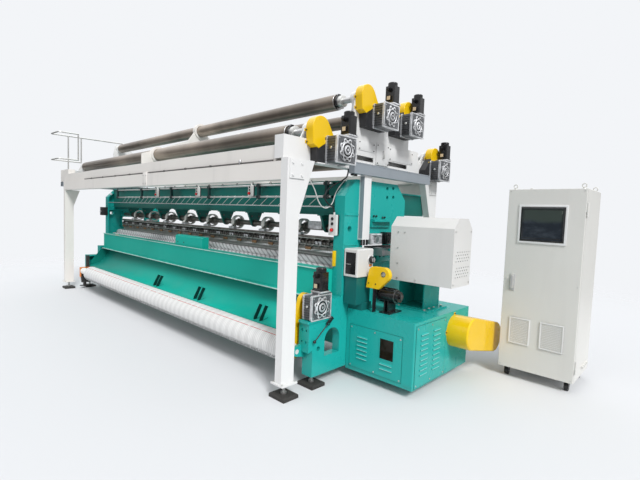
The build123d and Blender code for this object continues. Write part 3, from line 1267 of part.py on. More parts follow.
def cabinet_body():
    """The sheet cabinet on castors with a mounting plate and drives inside."""
    x1 = CAB_X + CAB_W
    y1 = CAB_Y + CAB_D
    z1 = CAB_Z + CAB_H
    s = CAB_SHEET
    y0 = CAB_Y + DOOR_THICK + 1
    shell = block(CAB_X, x1, y0, y1, CAB_Z, z1)
    shell = chamfer(shell.edges().filter_by(Axis.Y), 4)
    shell -= block(CAB_X + s, x1 - s, y0 + 16, y1 - s, CAB_Z + s, z1 - s)
    shell -= block(CAB_X + 24, x1 - 24, y0 - 5, y0 + 20, CAB_Z + 24, z1 - 24)
    shell += block(CAB_X + 50, x1 - 50, y1 - 40, y1 - 32, CAB_Z + 70, z1 - 70)
    for x in (CAB_X + 90, x1 - 130):
        shell += block(x, x + 40, y1 - 33, y1 - 3, CAB_Z + 90, z1 - 90)
    for i in range(5):
        x = CAB_X + 84 + 100 * i
        shell += block(x, x + 76, y1 - 210, y1 - 39, 1280, 1580)
    for i in range(3):
        x = CAB_X + 84 + 170 * i
        shell += block(x, x + 130, y1 - 130, y1 - 39, 820, 1040)
    for x in (CAB_X + 40, x1 - 40):
        for y in (y0 + 40, y1 - 40):
            shell += eye_bolt(x, y, z1)
            shell += castor(x + (24 if x < CAB_X + 100 else -24), y + (20 if y < y0 + 100 else -20))
    for z in (CAB_Z + 170, z1 - 170):
        shell += rod_z(x1 + HINGE_OUT, CAB_Y + 12, z - 80, z - 42, 9)
        shell += block(x1 + 1, x1 + HINGE_OUT, CAB_Y + 12, y0 + 30, z - 78, z - 44)
        shell += block(x1 - 2, x1 + 2, y0 + 2, y0 + 30, z - 78, z - 44)
        shell += rod_z(x1 + HINGE_OUT, CAB_Y + 12, z - 60, z + 38, PIN_R)
    for i in range(4):
        shell += rod_x(x1 - 2, x1 + 20, y1 - 120 - 60 * i, CAB_Z + 90, 14)
    return shell


PIN_R = 4.0
HINGE_OUT = 9.0
SCREEN = (1183.0, 1555.0, 1370.0, 1690.0)
HANDLE_X = CAB_X + 84.0
HANDLE_Z = 968.0


def cabinet_door():
    """The folded door with its screen cut-out, vents, lock plate and hinge knuckles."""
    x1 = CAB_X + CAB_W
    z1 = CAB_Z + CAB_H
    door = block(CAB_X + 2, x1 - 2, CAB_Y, CAB_Y + DOOR_THICK, CAB_Z + 2, z1 - 2)
    door = chamfer(door.faces().sort_by(Axis.Y)[0].edges(), 3)
    door -= block(CAB_X + 8, x1 - 8, CAB_Y + 3, CAB_Y + DOOR_THICK + 1, CAB_Z + 8, z1 - 8)
    sx0, sx1, sz0, sz1 = SCREEN
    door -= block(sx0 + 14, sx1 - 14, CAB_Y - 5, CAB_Y + 10, sz0 + 14, sz1 - 14)
    for gx0, gx1 in ((1137.0, 1325.0), (1413.0, 1613.0)):
        door += block(gx0, gx1, CAB_Y - 7, CAB_Y + 1, 356, 612)
        for i in range(15):
            z = 372 + 16 * i
            door -= block(gx0 + 12, gx1 - 12, CAB_Y - 9, CAB_Y - 2, z - 4, z + 4)
    door += block(HANDLE_X - 17, HANDLE_X + 17, CAB_Y - 6, CAB_Y + 1, HANDLE_Z - 70, HANDLE_Z + 70)
    door -= rod_y(HANDLE_X, CAB_Y - 8, CAB_Y + 10, HANDLE_Z + 38, 7 + RUN_FIT)
    for z in (CAB_Z + 170, z1 - 170):
        door += rod_z(x1 + HINGE_OUT, CAB_Y + 12, z - 41, z + 41, 9)
        door += block(x1 - 9, x1 + HINGE_OUT, CAB_Y + 5, CAB_Y + 14, z - 38, z + 38)
        door -= rod_z(x1 + HINGE_OUT, CAB_Y + 12, z - 45, z + 40, PIN_R + RUN_FIT)
    return door


save("cabinet_body", cabinet_body())
save("cabinet_door", cabinet_door())
sx0, sx1, sz0, sz1 = SCREEN
screen = plate_y(Pos((sx0 + sx1) / 2, (sz0 + sz1) / 2) * RectangleRounded(sx1 - sx0, sz1 - sz0, 10), CAB_Y - 9, CAB_Y - SEAT)
screen += block(sx0 + 16, sx1 - 16, CAB_Y - 2, CAB_Y + 52, sz0 + 16, sz1 - 16)
screen -= block(sx0 + 22, sx1 - 22, CAB_Y - 12, CAB_Y - 6, sz0 + 26, sz1 - 22)
save("cabinet_screen", screen)
handle = block(HANDLE_X - 9, HANDLE_X + 9, CAB_Y - 24, CAB_Y - 14, HANDLE_Z - 62, HANDLE_Z + 54)
handle = fillet(handle.edges().filter_by(Axis.Y), 7)
handle += rod_y(HANDLE_X, CAB_Y - 18, CAB_Y + 8, HANDLE_Z + 38, 7)
save("cabinet_handle", handle)
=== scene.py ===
import bpy
import math
from mathutils import Matrix, Vector


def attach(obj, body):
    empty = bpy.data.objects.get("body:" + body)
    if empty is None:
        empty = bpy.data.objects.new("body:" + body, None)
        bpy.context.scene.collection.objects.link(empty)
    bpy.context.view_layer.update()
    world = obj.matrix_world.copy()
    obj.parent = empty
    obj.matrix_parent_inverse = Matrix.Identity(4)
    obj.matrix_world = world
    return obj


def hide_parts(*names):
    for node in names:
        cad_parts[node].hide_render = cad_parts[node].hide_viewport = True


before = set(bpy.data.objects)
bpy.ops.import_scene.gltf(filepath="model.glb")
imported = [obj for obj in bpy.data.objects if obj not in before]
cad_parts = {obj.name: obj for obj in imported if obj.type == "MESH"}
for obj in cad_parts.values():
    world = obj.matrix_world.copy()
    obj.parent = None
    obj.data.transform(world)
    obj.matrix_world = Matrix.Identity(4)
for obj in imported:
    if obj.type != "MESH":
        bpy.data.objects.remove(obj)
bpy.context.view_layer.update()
bpy.ops.object.select_all(action="DESELECT")

# The photograph's camera, in metres and degrees
CAMERA_PLACE = (2.47, -2.235, 1.55)
CAMERA_TURN = (86.34, -2.14, 43.54)
CAMERA_LENS = 22.75

# Floor and light
FLOOR_MIDDLE = (-2.3, 1.2, 0)
FLOOR_FADE = (5.5, 9.5)
SUN_WAY = (0.68, -0.3, 0.67)
SUN_POWER = 2.6
SUN_WIDTH = math.radians(16)
# Power of the sky and of its reflections: two heights, and the power at each
SKY = (-0.25, 0.75, 0.24, 0.95)
GLOW = (0.05, 0.65, 0.2, 1.8)

# Directions: to the drive end, the front, the back and up
DRIVE = Vector((1, 0, 0))
FRONT = Vector((0, -1, 0))
BACK = Vector((0, 1, 0))
UP = Vector((0, 0, 1))
# The four corners of a square round the origin
CORNERS = ((-1, -1), (-1, 1), (1, -1), (1, 1))
# Faces that meet at a smaller angle are shaded as one
SMOOTH_ANGLE = math.radians(38)

# Middles of the swing shaft's hangers along the machine, and (y, z) of the shaft
HANGERS = [-3.03 + 0.64 * (i - 4) for i in range(9)]
SWING = (0.98, 1.405)

# Faces that small parts sit on: end frame, front and side panel of the housing
FRAME_FACE = 0.044
PANEL_FACE = 0.7457
SIDE_FACE = 0.7823
# Pale bars painted as highlights on the lips of the louvres: how far they stand out, and their radius
LIP_OUT = 0.0084
LIP_R = 0.0019

# Let-off drives: (y, z) of the shafts and of their gearboxes, front to back
SHAFT_NAMES = ("front_low", "front_high", "rear_high", "rear_low")
SHAFTS = ((0.288, 2.276), (0.924, 2.698), (1.655, 2.693), (2.295, 2.288))
GEARS = ((0.466, 2.108), (1.12, 2.522), (1.612, 2.52), (2.284, 2.113))
# (y, z) of the take-up gearbox
TAKE_GEAR = (0.372, 0.7233)
# Each gearbox: its front, (y, z), width, height and depth
GEAR_BOXES = [(0.194, y, z, 0.258, 0.238, 0.134) for y, z in GEARS] + [(0.054, *TAKE_GEAR, 0.254, 0.226, 0.113)]
# Radius of the gearboxes' round covers
COVER_R = 0.083
# Each servo motor: the middle of its foot
MOTORS = [(0.13, y + 0.09, z + 0.1313) for y, z in GEARS] + [(0.0005, TAKE_GEAR[0] + 0.036, TAKE_GEAR[1] + 0.1253)]

# Switch rails with their arms, ribs of the front beam, and (y, z) of the pipe along the front top beam
RAIL_X = (-5.559, -0.141)
RAIL_Y = 0.66
RAIL_Z = (1.722, 1.85)
RAIL_R = 0.0122
ARMS = [RAIL_X[0] + 0.06 + (RAIL_X[1] - RAIL_X[0] - 0.12) * i / 5 for i in range(6)]
RIB_X = (-3.18, -2.04, -0.81)
PIPE = (-0.06, 1.981)

# Ends of the guide bars, and pitches of needles, leads and thread wires
GUIDE_X = (-5.78, -0.26)
NEEDLE_PITCH = 0.012
LEAD_PITCH = 0.318
WIRE_PITCH = 0.155

# Routes of the two cables from the underside of the cross head
HEAD_UNDER = 1.9953
BLACK_ROUTE = (
    (-0.05, 0.79, HEAD_UNDER), (-0.05, 0.79, 1.925), (-0.052, 0.722, 1.882), (-0.05, 0.635, 1.845),
    (-0.054, 0.552, 1.802), (-0.056, 0.49, 1.752), (-0.058, 0.478, 1.7), (-0.06, 0.508, 1.662),
    (-0.062, 0.548, 1.64), (-0.062, 0.59, 1.63), (-0.062, 0.62, 1.602), (-0.062, 0.6252, 1.5735),
)
WHITE_ROUTE = (
    (-0.076, 0.93, HEAD_UNDER), (-0.076, 0.93, 1.945), (-0.076, 0.862, 1.925), (-0.076, 0.786, 1.893),
    (-0.077, 0.722, 1.84), (-0.078, 0.668, 1.782), (-0.078, 0.636, 1.722), (-0.08, 0.62, 1.668),
    (-0.082, 0.578, 1.62), (-0.082, 0.52, 1.604), (-0.08, 0.462, 1.622), (-0.078, 0.415, 1.668),
    (-0.077, 0.385, 1.73), (-0.076, 0.35, 1.79), (-0.076, 0.305, 1.835), (-0.076, 0.282, 1.9),
    (-0.076, 0.275, 1.955), (-0.076, 0.275, HEAD_UNDER),
)

# Colours, linear
TEAL = (0.01, 0.45, 0.36)
TEAL_BRIGHT = (0.012, 0.37, 0.335)
TEAL_SHADE = (0.006, 0.14, 0.118)
WHITE = (0.74, 0.74, 0.735)
# White paint tinted with painted warm bounce light, for white parts that stand in shade
WHITE_WARM_BOUNCE = (0.76, 0.735, 0.7)
COVER_GREY = (0.64, 0.635, 0.62)
YELLOW = (0.82, 0.52, 0.006)
BLACK = (0.014, 0.014, 0.016)
STEEL = (0.56, 0.56, 0.57)
ALUMINIUM = (0.66, 0.67, 0.69)
SHAFT_BROWN = (0.19, 0.158, 0.128)
CLOTH = (0.74, 0.74, 0.73)
DUST = (0.46, 0.44, 0.4)
FLOOR_DIRT = (0.09, 0.08, 0.07)
BACKDROP = (0.896, 0.913, 0.939)
SKY_COLOUR = (0.97, 0.98, 1.0)


class Field:
    """A value that changes over a surface. Sums on it add Math nodes to its graph."""

    def __init__(self, graph, socket):
        self.graph = graph
        self.socket = socket

    def math(self, operation, *others):
        return self.graph.node("ShaderNodeMath", {"operation": operation}, self, *others)

    def __add__(self, other):
        return self.math("ADD", other)

    def __mul__(self, other):
        return self.math("MULTIPLY", other)

    def __sub__(self, other):
        return self.math("SUBTRACT", other)

    def __rsub__(self, other):
        return self.graph.node("ShaderNodeMath", {"operation": "SUBTRACT"}, other, self)

    def __gt__(self, other):
        return self.math("GREATER_THAN", other)

    def __lt__(self, other):
        return self.math("LESS_THAN", other)

    def __abs__(self):
        return self.math("ABSOLUTE")

    __radd__ = __add__
    __rmul__ = __mul__

    def wave(self, period):
        """A wave from 0 to 1 with the given length."""
        return (self * (2 * math.pi / period)).math("SINE") * 0.5 + 0.5

    def most(self, other):
        return self.math("MAXIMUM", other)

    def between(self, low, high):
        """1 inside the range and 0 outside it."""
        return (self > low) * (self < high)

    def ramp(self, low, high):
        """Rises from 0 at low to 1 at high."""
        return self.graph.node("ShaderNodeMapRange", {"interpolation_type": "SMOOTHSTEP"}, self, low, high, 0.0, 1.0)


class Graph:
    """The node tree of a material or a world."""

    def __init__(self, owner):
        owner.use_nodes = True
        self.tree = owner.node_tree
        self.tree.nodes.clear()

    def put(self, socket, value):
        """Links a field to a socket, or writes a plain value in it."""
        if isinstance(value, Field):
            self.tree.links.new(value.socket, socket)
        elif socket.type == "RGBA":
            socket.default_value = (*value, 1)
        else:
            socket.default_value = value

    def node(self, kind, settings, *values, output=0):
        """A node with its settings and the values or links of its sockets."""
        made = self.tree.nodes.new(kind)
        for name, value in settings.items():
            setattr(made, name, value)
        for socket, value in zip(made.inputs, values):
            if value is not None:
                self.put(socket, value)
        return Field(self, made.outputs[output]) if made.outputs else None

    def part(self, vector, axis):
        """One of the three numbers of a vector: 0, 1 or 2."""
        return self.node("ShaderNodeSeparateXYZ", {}, vector, output=axis)


class Finish(Graph):
    """A material: its nodes, its place on the piece and its shader."""

    def __init__(self, name, colour, rough, metal=0.0, coat=0.0, shine=0.5):
        self.material = bpy.data.materials.new(name)
        self.material.diffuse_color = (*colour, 1)
        super().__init__(self.material)
        self.shader = self.tree.nodes.new("ShaderNodeBsdfPrincipled")
        self.out = self.tree.nodes.new("ShaderNodeOutputMaterial")
        self.tree.links.new(self.shader.outputs[0], self.out.inputs[0])
        self.shader.inputs["Base Color"].default_value = (*colour, 1)
        self.shader.inputs["Roughness"].default_value = rough
        self.shader.inputs["Metallic"].default_value = metal
        self.shader.inputs["Coat Weight"].default_value = coat
        self.shader.inputs["Coat Roughness"].default_value = 0.08
        self.shader.inputs["Specular IOR Level"].default_value = shine
        self.spot = self.node("ShaderNodeTexCoord", {}, output=3)

    def place(self, axis):
        """One of the coordinates of the point on the piece: 0, 1 or 2."""
        return self.part(self.spot, axis)

    def noise(self, scale, detail=3.0, stretch=(1, 1, 1)):
        point = self.node("ShaderNodeVectorMath", {"operation": "MULTIPLY"}, self.spot, stretch)
        return self.node("ShaderNodeTexNoise", {}, point, None, scale, detail, 0.55)

    def mix(self, share, first, second):
        """A colour between two, by a share from 0 to 1."""
        made = self.tree.nodes.new("ShaderNodeMix")
        made.data_type = "RGBA"
        for i, value in ((0, share), (6, first), (7, second)):
            self.put(made.inputs[i], value)
        return Field(self, made.outputs[2])

    def over(self, base, *coats):
        """A colour with more colours over it, each by its own share."""
        for share, colour in coats:
            base = self.mix(share, base, colour)
        return base

    def repaint(self, *coats):
        """Lays more colours over the finish, each by its own share."""
        colour = self.shader.inputs["Base Color"]
        self.put(colour, self.over(Field(self, colour.links[0].from_socket), *coats))
        return self

    def below(self, *coats):
        """Lays more colours over the finish, each under its own height."""
        return self.repaint(*((self.place(2) < height, colour) for height, colour in coats))

    def vary(self, colour, rough):
        """Lets colour and roughness change over the piece."""
        self.put(self.shader.inputs["Base Color"], colour)
        self.put(self.shader.inputs["Roughness"], rough)
        return self

    def relief(self, height, depth, strength):
        """Bumps of a depth in metres."""
        bump = self.tree.nodes.new("ShaderNodeBump")
        for name, value in (("Strength", strength), ("Distance", depth), ("Height", height)):
            self.put(bump.inputs[name], value)
        self.tree.links.new(bump.outputs[0], self.shader.inputs["Normal"])
        return self

    def metal_by(self, field):
        self.put(self.shader.inputs["Metallic"], field)
        return self


def tint(colour, share):
    """The colour made darker or lighter."""
    return tuple(min(1.0, c * share) for c in colour)


def painted(name, colour, rough=0.34, coat=0.08, dirt=0.2, low=0.0, shine=0.28):
    """Sprayed paint: faint orange peel, uneven gloss, dust on what looks up and grime near the floor."""
    made = Finish(name, colour, rough, coat=coat, shine=shine)
    film = made.noise(4.0)
    grime = made.noise(7.0, stretch=(1, 1, 0.1)).ramp(0.54, 0.82) * dirt
    facing_up = made.part(made.node("ShaderNodeNewGeometry", {}, output=1), 2)
    dusty = facing_up.ramp(0.6, 1.0) * film.ramp(0.35, 0.75) * dirt * 0.6
    splash = (1.0 - made.place(2).ramp(low, low + 0.16)) * made.noise(26.0, 4.0).ramp(0.3, 0.7) * 0.6
    shade = made.mix(made.noise(1.1, 1.5), tint(colour, 0.91), tint(colour, 1.08))
    shade = made.over(shade, (grime, tint(colour, 0.62)), (dusty, DUST), (splash, FLOOR_DIRT))
    gloss = film * 0.08 + (rough - 0.04) + grime * 0.2 + dusty * 0.3
    return made.vary(shade, gloss).relief(made.noise(30.0, 1.0), 0.0004, 0.08)


def trough_paint():
    """Green paint of the front beam, with painted highlights along its lips and painted shade under the lip, towards
    the far end and on the ribs.
    """
    made = painted("trough_paint", TEAL, rough=0.42, coat=0.0, dirt=0.1, shine=0.12)
    x, y, z = (made.place(axis) for axis in range(3))
    below = z < 0.74
    ribs = z.between(0.432, 0.592) * (y < 0.436) * sum(abs(x - rib).between(0.0425, 0.0535) for rib in RIB_X)
    lip_highlights = ((y < 0.5485) * z.between(0.73, 0.75)).most((y < 0.566) * (z > 1.02))
    lip_highlight_breaks = made.noise(3.0, 5.0, stretch=(4, 1, 1)).ramp(0.3, 0.6)
    # Painted shade under the lip, towards the far end and on the ribs; painted highlights along both lips, broken up
    # by noise
    return made.repaint(
        ((1.0 - x.ramp(-6.0, -3.4)) * below * 0.7, TEAL_SHADE), (z.ramp(0.5, 0.73) * below * 0.6, TEAL_SHADE),
        (ribs, (0.004, 0.04, 0.034)), (lip_highlights * (lip_highlight_breaks * 0.35 + 0.6), (0.62, 0.85, 0.8)))


def bare_metal(name, colour, rough, along=0):
    """Machined metal with marks that run along one axis, and stains."""
    made = Finish(name, colour, rough, metal=1.0)
    stretch = [220.0, 220.0, 220.0]
    stretch[along] = 2.5
    marks = made.noise(1.0, stretch=stretch)
    stain = made.noise(5.0, 5.0)
    shade = made.mix(stain.ramp(0.45, 0.75) * 0.5, colour, tint(colour, 0.45))
    return made.vary(shade, marks * 0.175 + (rough - 0.0875) + stain * 0.12).relief(marks, 0.0004, 0.5)


def switch_rail_steel():
    """Two bright rails on dark clamp arms."""
    made = bare_metal("switch_rail_steel", (0.66, 0.66, 0.65), 0.24)
    y = made.place(1) - RAIL_Y
    heights = [made.place(2) - level for level in RAIL_Z]
    rails = sum(y * y + z * z < RAIL_R ** 2 for z in heights)
    return made.repaint((1.0 - rails, (0.01, 0.035, 0.036))).metal_by(rails * 0.9 + 0.1)


def cast_metal(name, colour, rough=0.42, metal=0.9):
    """Sand-cast aluminium: a pebbled skin with darker pits."""
    made = Finish(name, colour, rough, metal=metal)
    grit = made.noise(170.0, 4.0)
    shade = made.mix(made.noise(12.0, 4.0).ramp(0.35, 0.7), tint(colour, 0.62), tint(colour, 1.05))
    shade = made.mix(grit.ramp(0.52, 0.75) * 0.45, shade, tint(colour, 0.3))
    return made.vary(shade, grit * 0.25 + (rough - 0.1)).relief(grit, 0.0012, 0.7)


def plain(name, colour, rough, coat=0.0):
    """Moulded plastic, rubber or enamel with a fine grain and handling marks."""
    made = Finish(name, colour, rough, coat=coat, shine=0.35)
    rub = made.noise(18.0, 4.0)
    shade = made.mix(rub.ramp(0.45, 0.75) * 0.35, colour, tint([c + 0.015 for c in colour], 1.35))
    return made.vary(shade, rub * 0.2 + (rough - 0.1)).relief(made.noise(420.0, 2.0), 0.0004, 0.5)


def rolled_steel():
    """A long drawn tube: dark brown-grey mill skin with lighter bands and drag marks along it."""
    made = Finish("rolled_tube_steel", SHAFT_BROWN, 0.34, metal=0.65)
    bands = made.noise(0.9, 4.0, stretch=(1, 0.3, 0.3))
    drag = made.noise(1.0, 4.0, stretch=(1.2, 60, 60))
    spots = made.noise(34.0, 5.0)
    shade = made.mix(bands.ramp(0.35, 0.68), tint(SHAFT_BROWN, 0.7), tint(SHAFT_BROWN, 1.75))
    shade = made.over(
        shade, (drag.ramp(0.5, 0.75) * 0.5, (0.23, 0.21, 0.19)), (spots.ramp(0.62, 0.8) * 0.5, (0.13, 0.07, 0.035)),
        (made.place(0).ramp(-0.3405, -0.3385), (0.5, 0.5, 0.5)))
    return made.vary(shade, drag * 0.2 + spots * 0.1 + 0.2).relief(drag + spots * 0.4, 0.0008, 0.5)


def gearbox_casting():
    """Dark grey castings with bright machined flanges at front and back."""
    made = Finish("gearbox_casting", (0.1, 0.105, 0.11), 0.42, metal=0.45)
    x = made.place(0)
    upper = made.place(2) > 1.4
    let_off = x.between(0.058, 0.0765).most(x.between(0.1735, 0.189))
    take_up = x.between(-0.0595, -0.0425).most(x.between(0.0335, 0.049))
    grit = made.noise(170.0, 4.0)
    patch = made.noise(14.0, 4.0)
    dark = made.mix(patch, (0.09, 0.094, 0.102), (0.2, 0.207, 0.215))
    light = made.mix(patch, tint(ALUMINIUM, 0.72), tint(ALUMINIUM, 1.05))
    shade = made.over(
        dark, (let_off * upper + take_up * (1.0 - upper), light), (grit.ramp(0.55, 0.78) * 0.4, (0.03, 0.03, 0.035)))
    return made.vary(shade, grit * 0.22 + 0.3).relief(grit, 0.001, 0.6)


def levelling_steel():
    """A rubber pad with its bright screw and nut."""
    made = Finish("levelling_foot", (0.022, 0.021, 0.02), 0.6)
    steel = made.place(2) > 0.0345
    wear = made.noise(30.0, 4.0)
    shade = made.mix(steel, made.mix(wear, (0.014, 0.013, 0.012), (0.045, 0.042, 0.038)), (0.42, 0.42, 0.41))
    made.vary(shade, wear * 0.2 + 0.65 - steel * 0.35).relief(made.noise(300.0), 0.0008, 0.5)
    return made.metal_by(steel * 0.9)


def switch_shell():
    """Switch boxes: a white front half with black caps, and a black back half."""
    made = Finish("switch_shell", (0.7, 0.7, 0.68), 0.42)
    y = made.place(1)
    caps = y < (made.place(0) > -0.2) * 0.0032 + 0.5975
    rub = made.noise(16.0, 4.0)
    white = made.mix(rub, (0.62, 0.62, 0.6), (0.76, 0.76, 0.74))
    shade = made.mix(caps.most(y > 0.63), white, (0.018, 0.018, 0.019))
    return made.vary(shade, rub * 0.2 + 0.33).relief(made.noise(420.0, 2.0), 0.0004, 0.5)


def far_bracket():
    """The far roll bracket in dull black, with its guard loop in orange."""
    made = Finish("far_bracket", (0.02, 0.02, 0.022), 0.5)
    y = made.place(1)
    z = made.place(2)
    loop = (y < 0.1474).most(z.between(0.3855, 0.3985) * (y < 0.2935)) * (z > 0.219)
    wear = made.noise(22.0, 4.0)
    shade = made.mix(loop, made.mix(wear, (0.014, 0.014, 0.015), (0.045, 0.043, 0.04)), (0.72, 0.2, 0.015))
    return made.vary(shade, wear * 0.25 + 0.4 - loop * 0.1).relief(made.noise(260.0), 0.0006, 0.4)


def knitted_cloth():
    """Cloth wound on the roll: cross ribs, courses, soft bands where turns end and one coloured edge thread."""
    made = Finish("knitted_cloth", CLOTH, 0.85)
    x = made.place(0)
    z = made.place(2)
    ribs = x.wave(0.024)
    turns = x.wave(0.11).ramp(0.25, 0.85)
    courses = made.noise(1.0, 2.0, stretch=(600, 60, 60))
    sag = made.noise(2.2, 4.0, stretch=(0.5, 3, 3))
    blush = made.noise(1.1, stretch=(0.4, 6, 6)).ramp(0.52, 0.7)
    thread = z.between(0.4415, 0.4445) * (made.place(1) < 0.16) * made.noise(30.0).ramp(0.38, 0.45)
    net = made.node("ShaderNodeTexVoronoi", {}, made.spot, None, 70.0).ramp(0.25, 0.55)
    shade = made.over(
        made.mix(ribs, tint(CLOTH, 0.84), tint(CLOTH, 1.1)), (turns * 0.3, (0.5, 0.5, 0.49)),
        (sag.ramp(0.45, 0.75) * 0.35, (0.55, 0.57, 0.6)), (blush * 0.3, (0.62, 0.4, 0.36)),
        (thread, (0.5, 0.06, 0.04)), (z.ramp(0.3, 0.268) * net * 0.75, (0.1, 0.11, 0.11)),
        (x < -5.4295, (0.78, 0.78, 0.76)))
    return made.vary(shade, 0.8 + ribs * 0.1).relief(ribs + courses * 0.5 + sag * 1.2, 0.0022, 0.8)


def wrapped_roller():
    """Grey take-down roller wound with a rough strip, so its light bands slant."""
    made = Finish("wrapped_roller", (0.52, 0.53, 0.54), 0.6)
    wander = made.noise(14.0) * 0.06
    slant = (made.place(0) + made.place(2) * 1.4 + made.place(1) * 1.1 + wander).wave(0.085)
    grit = made.noise(240.0)
    wear = made.noise(6.0, 4.0, stretch=(1, 3, 3))
    shade = made.over(
        made.mix(slant.ramp(0.05, 0.55), (0.36, 0.36, 0.37), (0.72, 0.73, 0.74)),
        (wear.ramp(0.5, 0.8) * 0.6, (0.72, 0.72, 0.72)), (grit.ramp(0.45, 0.8) * 0.5, (0.22, 0.22, 0.23)))
    return made.vary(shade, 0.5 + grit * 0.25).relief(slant * 0.8 + grit, 0.0018, 0.7)


def glossy_glass(name, colour, shine=0.4):
    """A dark pane with faint smears."""
    made = Finish(name, colour, 0.06, coat=shine * 0.4, shine=shine)
    made.shader.inputs["Coat Roughness"].default_value = 0.03
    smear = made.noise(7.0, 5.0, stretch=(1, 1, 2))
    shade = made.mix(smear.ramp(0.45, 0.8), colour, tint([c + 0.01 for c in colour], 1.8))
    return made.vary(shade, smear.ramp(0.4, 0.8) * 0.18 + 0.04)


def display_glass():
    """The dark screen, with a painted reflection that makes its upper part paler and greener."""
    made = glossy_glass("display_glass", (0.014, 0.02, 0.028))
    edge = made.noise(4.0, 2.0, stretch=(1, 1, 0.2)) * 0.1
    # Painted reflection: paler, greener glass above a wavy line
    return made.repaint(((made.place(2) + edge).ramp(1.595, 1.64), (0.04, 0.054, 0.048)))


FINISHES = {
    "teal": painted("teal_paint", TEAL),
    "teal_bright": painted("teal_bright_paint", TEAL_BRIGHT, rough=0.28, coat=0.12, dirt=0.07),
    "teal_dark": painted("teal_shade_paint", TEAL_SHADE, rough=0.4),
    # Pale teal for the bars that are painted highlights on the louvres' lips
    "lip_highlight": painted("lip_highlight_paint", (0.33, 0.7, 0.68), rough=0.3),
    "trough": trough_paint(),
    # A grey box over its dark stand, tinted teal as a painted reflection of the teal parts round it, and a yellow
    # guard on its dark strut
    "lubricator": painted("lubricator_paint", COVER_GREY, rough=0.42, dirt=0.1).below((0.9845, (0.008, 0.13, 0.122))),
    "pump_guard": painted("pump_guard_paint", YELLOW, rough=0.26, coat=0.25, dirt=0.16).below((0.884, BLACK)),
    "switch_rails": switch_rail_steel(),
    "white": painted("white_paint", WHITE, rough=0.36, dirt=0.14),
    # White paint with painted warm bounce light, for white parts in shade
    "white_warm_bounce": painted("white_warm_bounce_paint", WHITE_WARM_BOUNCE, rough=0.4),
    "cover": painted("cover_grey_paint", COVER_GREY, rough=0.42, dirt=0.1),
    "duct": painted("duct_grey_paint", (0.26, 0.29, 0.32), rough=0.4),
    "yellow": painted("yellow_paint", YELLOW, rough=0.26, coat=0.25, dirt=0.16),
    "black": plain("black_enamel", (0.008, 0.008, 0.009), 0.24, coat=0.35),
    "black_dull": plain("black_dull_paint", (0.02, 0.02, 0.022), 0.55),
    # Pale powder coat, over the steel forks and black wheels of the castors
    "cabinet": painted("cabinet_paint", (0.66, 0.655, 0.625), rough=0.45, dirt=0.1, low=-0.1).below(
        (0.0925, (0.3, 0.3, 0.3)), (0.074, (0.025, 0.025, 0.026))),
    "shaft": rolled_steel(),
    "steel": bare_metal("brushed_steel", STEEL, 0.32),
    "round_steel": bare_metal("turned_steel", (0.6, 0.6, 0.61), 0.22, along=1),
    "dark_steel": bare_metal("blued_steel", (0.16, 0.155, 0.15), 0.38),
    "zinc": bare_metal("zinc_plate", (0.62, 0.62, 0.6), 0.36, along=2),
    "zinc_grey": plain("grey_handle", (0.42, 0.42, 0.42), 0.35),
    "gearbox": gearbox_casting(),
    "casting": cast_metal("bright_casting", (0.8, 0.81, 0.83), 0.3, metal=0.45),
    "iron": cast_metal("dark_casting", (0.12, 0.12, 0.12), 0.5),
    "bars": cast_metal("guide_bar_alloy", (0.3, 0.285, 0.26), 0.45),
    "cloth": knitted_cloth(),
    "roller": wrapped_roller(),
    "plastic": plain("black_plastic", (0.018, 0.018, 0.019), 0.42),
    "red": plain("red_plastic", (0.7, 0.012, 0.012), 0.28, coat=0.5),
    "cable": plain("black_cable", (0.016, 0.016, 0.017), 0.48),
    "pale_cable": plain("pale_cable", (0.62, 0.62, 0.6), 0.45),
    "label": plain("blank_plate", (0.62, 0.5, 0.34), 0.5),
    "orange": painted("orange_paint", (0.75, 0.22, 0.02), rough=0.35),
    "bronze": bare_metal("bronze_leads", (0.34, 0.2, 0.11), 0.42),
    "feet": levelling_steel(),
    "switches": switch_shell(),
    "far_bracket": far_bracket(),
    "glass": glossy_glass("dark_glass", (0.012, 0.01, 0.006), shine=0.15),
    "display": display_glass(),
}

# The CAD nodes that wear each finish
NODE_FINISHES = {
    "white": "column_front_right column_rear_right cross_head_right cross_head_left wiring_duct",
    # White parts in shade, painted with warm bounce light
    "white_warm_bounce": "column_front_left column_rear_left front_top_beam rear_top_beam",
    "trough": "trough_beam",
    "teal": "base_beam",
    "teal_bright": "end_frame_right end_frame_left drive_housing housing_panels pedestal",
    "yellow": "chain_guards motor_guard take_up_guard",
    "pump_guard": "pump_guard",
    "cover": "pattern_cover",
    "lubricator": "lubricator",
    "duct": "cross_duct walkway_channels",
    "black": "servo_motors tension_lever pump_motor",
    "black_dull": "chain_cases",
    "far_bracket": "roll_bracket_left",
    "dark_steel": "main_shaft",
    "zinc": "railing needle_bar",
    "steel": "press_roller shog_bar",
    "switch_rails": "switch_rails",
    "gearbox": "worm_gearboxes",
    "bars": "guide_bar_carriage",
    "teal_dark": "main_motor main_beam",
    "shaft": "beam_shaft_front_low beam_shaft_front_high beam_shaft_rear_high beam_shaft_rear_low",
    "roller": "take_down_roller_front take_down_roller_middle take_down_roller_rear",
    "cloth": "batch_roll",
    "feet": "levelling_feet",
    "switches": "switch_boxes",
    "red": "stop_button_1 stop_button_2 stop_button_3 stop_button_4",
    "plastic": "lubricator_knob",
    "zinc_grey": "cabinet_handle",
    "cabinet": "cabinet_body cabinet_door",
    "display": "cabinet_screen",
}


def wear(piece, finish):
    """Gives a piece its finish in place of any other."""
    piece.data.materials.clear()
    piece.data.materials.append(FINISHES[finish].material)


def dress_nodes():
    """Gives each CAD node its finish."""
    for finish, names in NODE_FINISHES.items():
        for name in names.split():
            wear(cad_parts[name], finish)


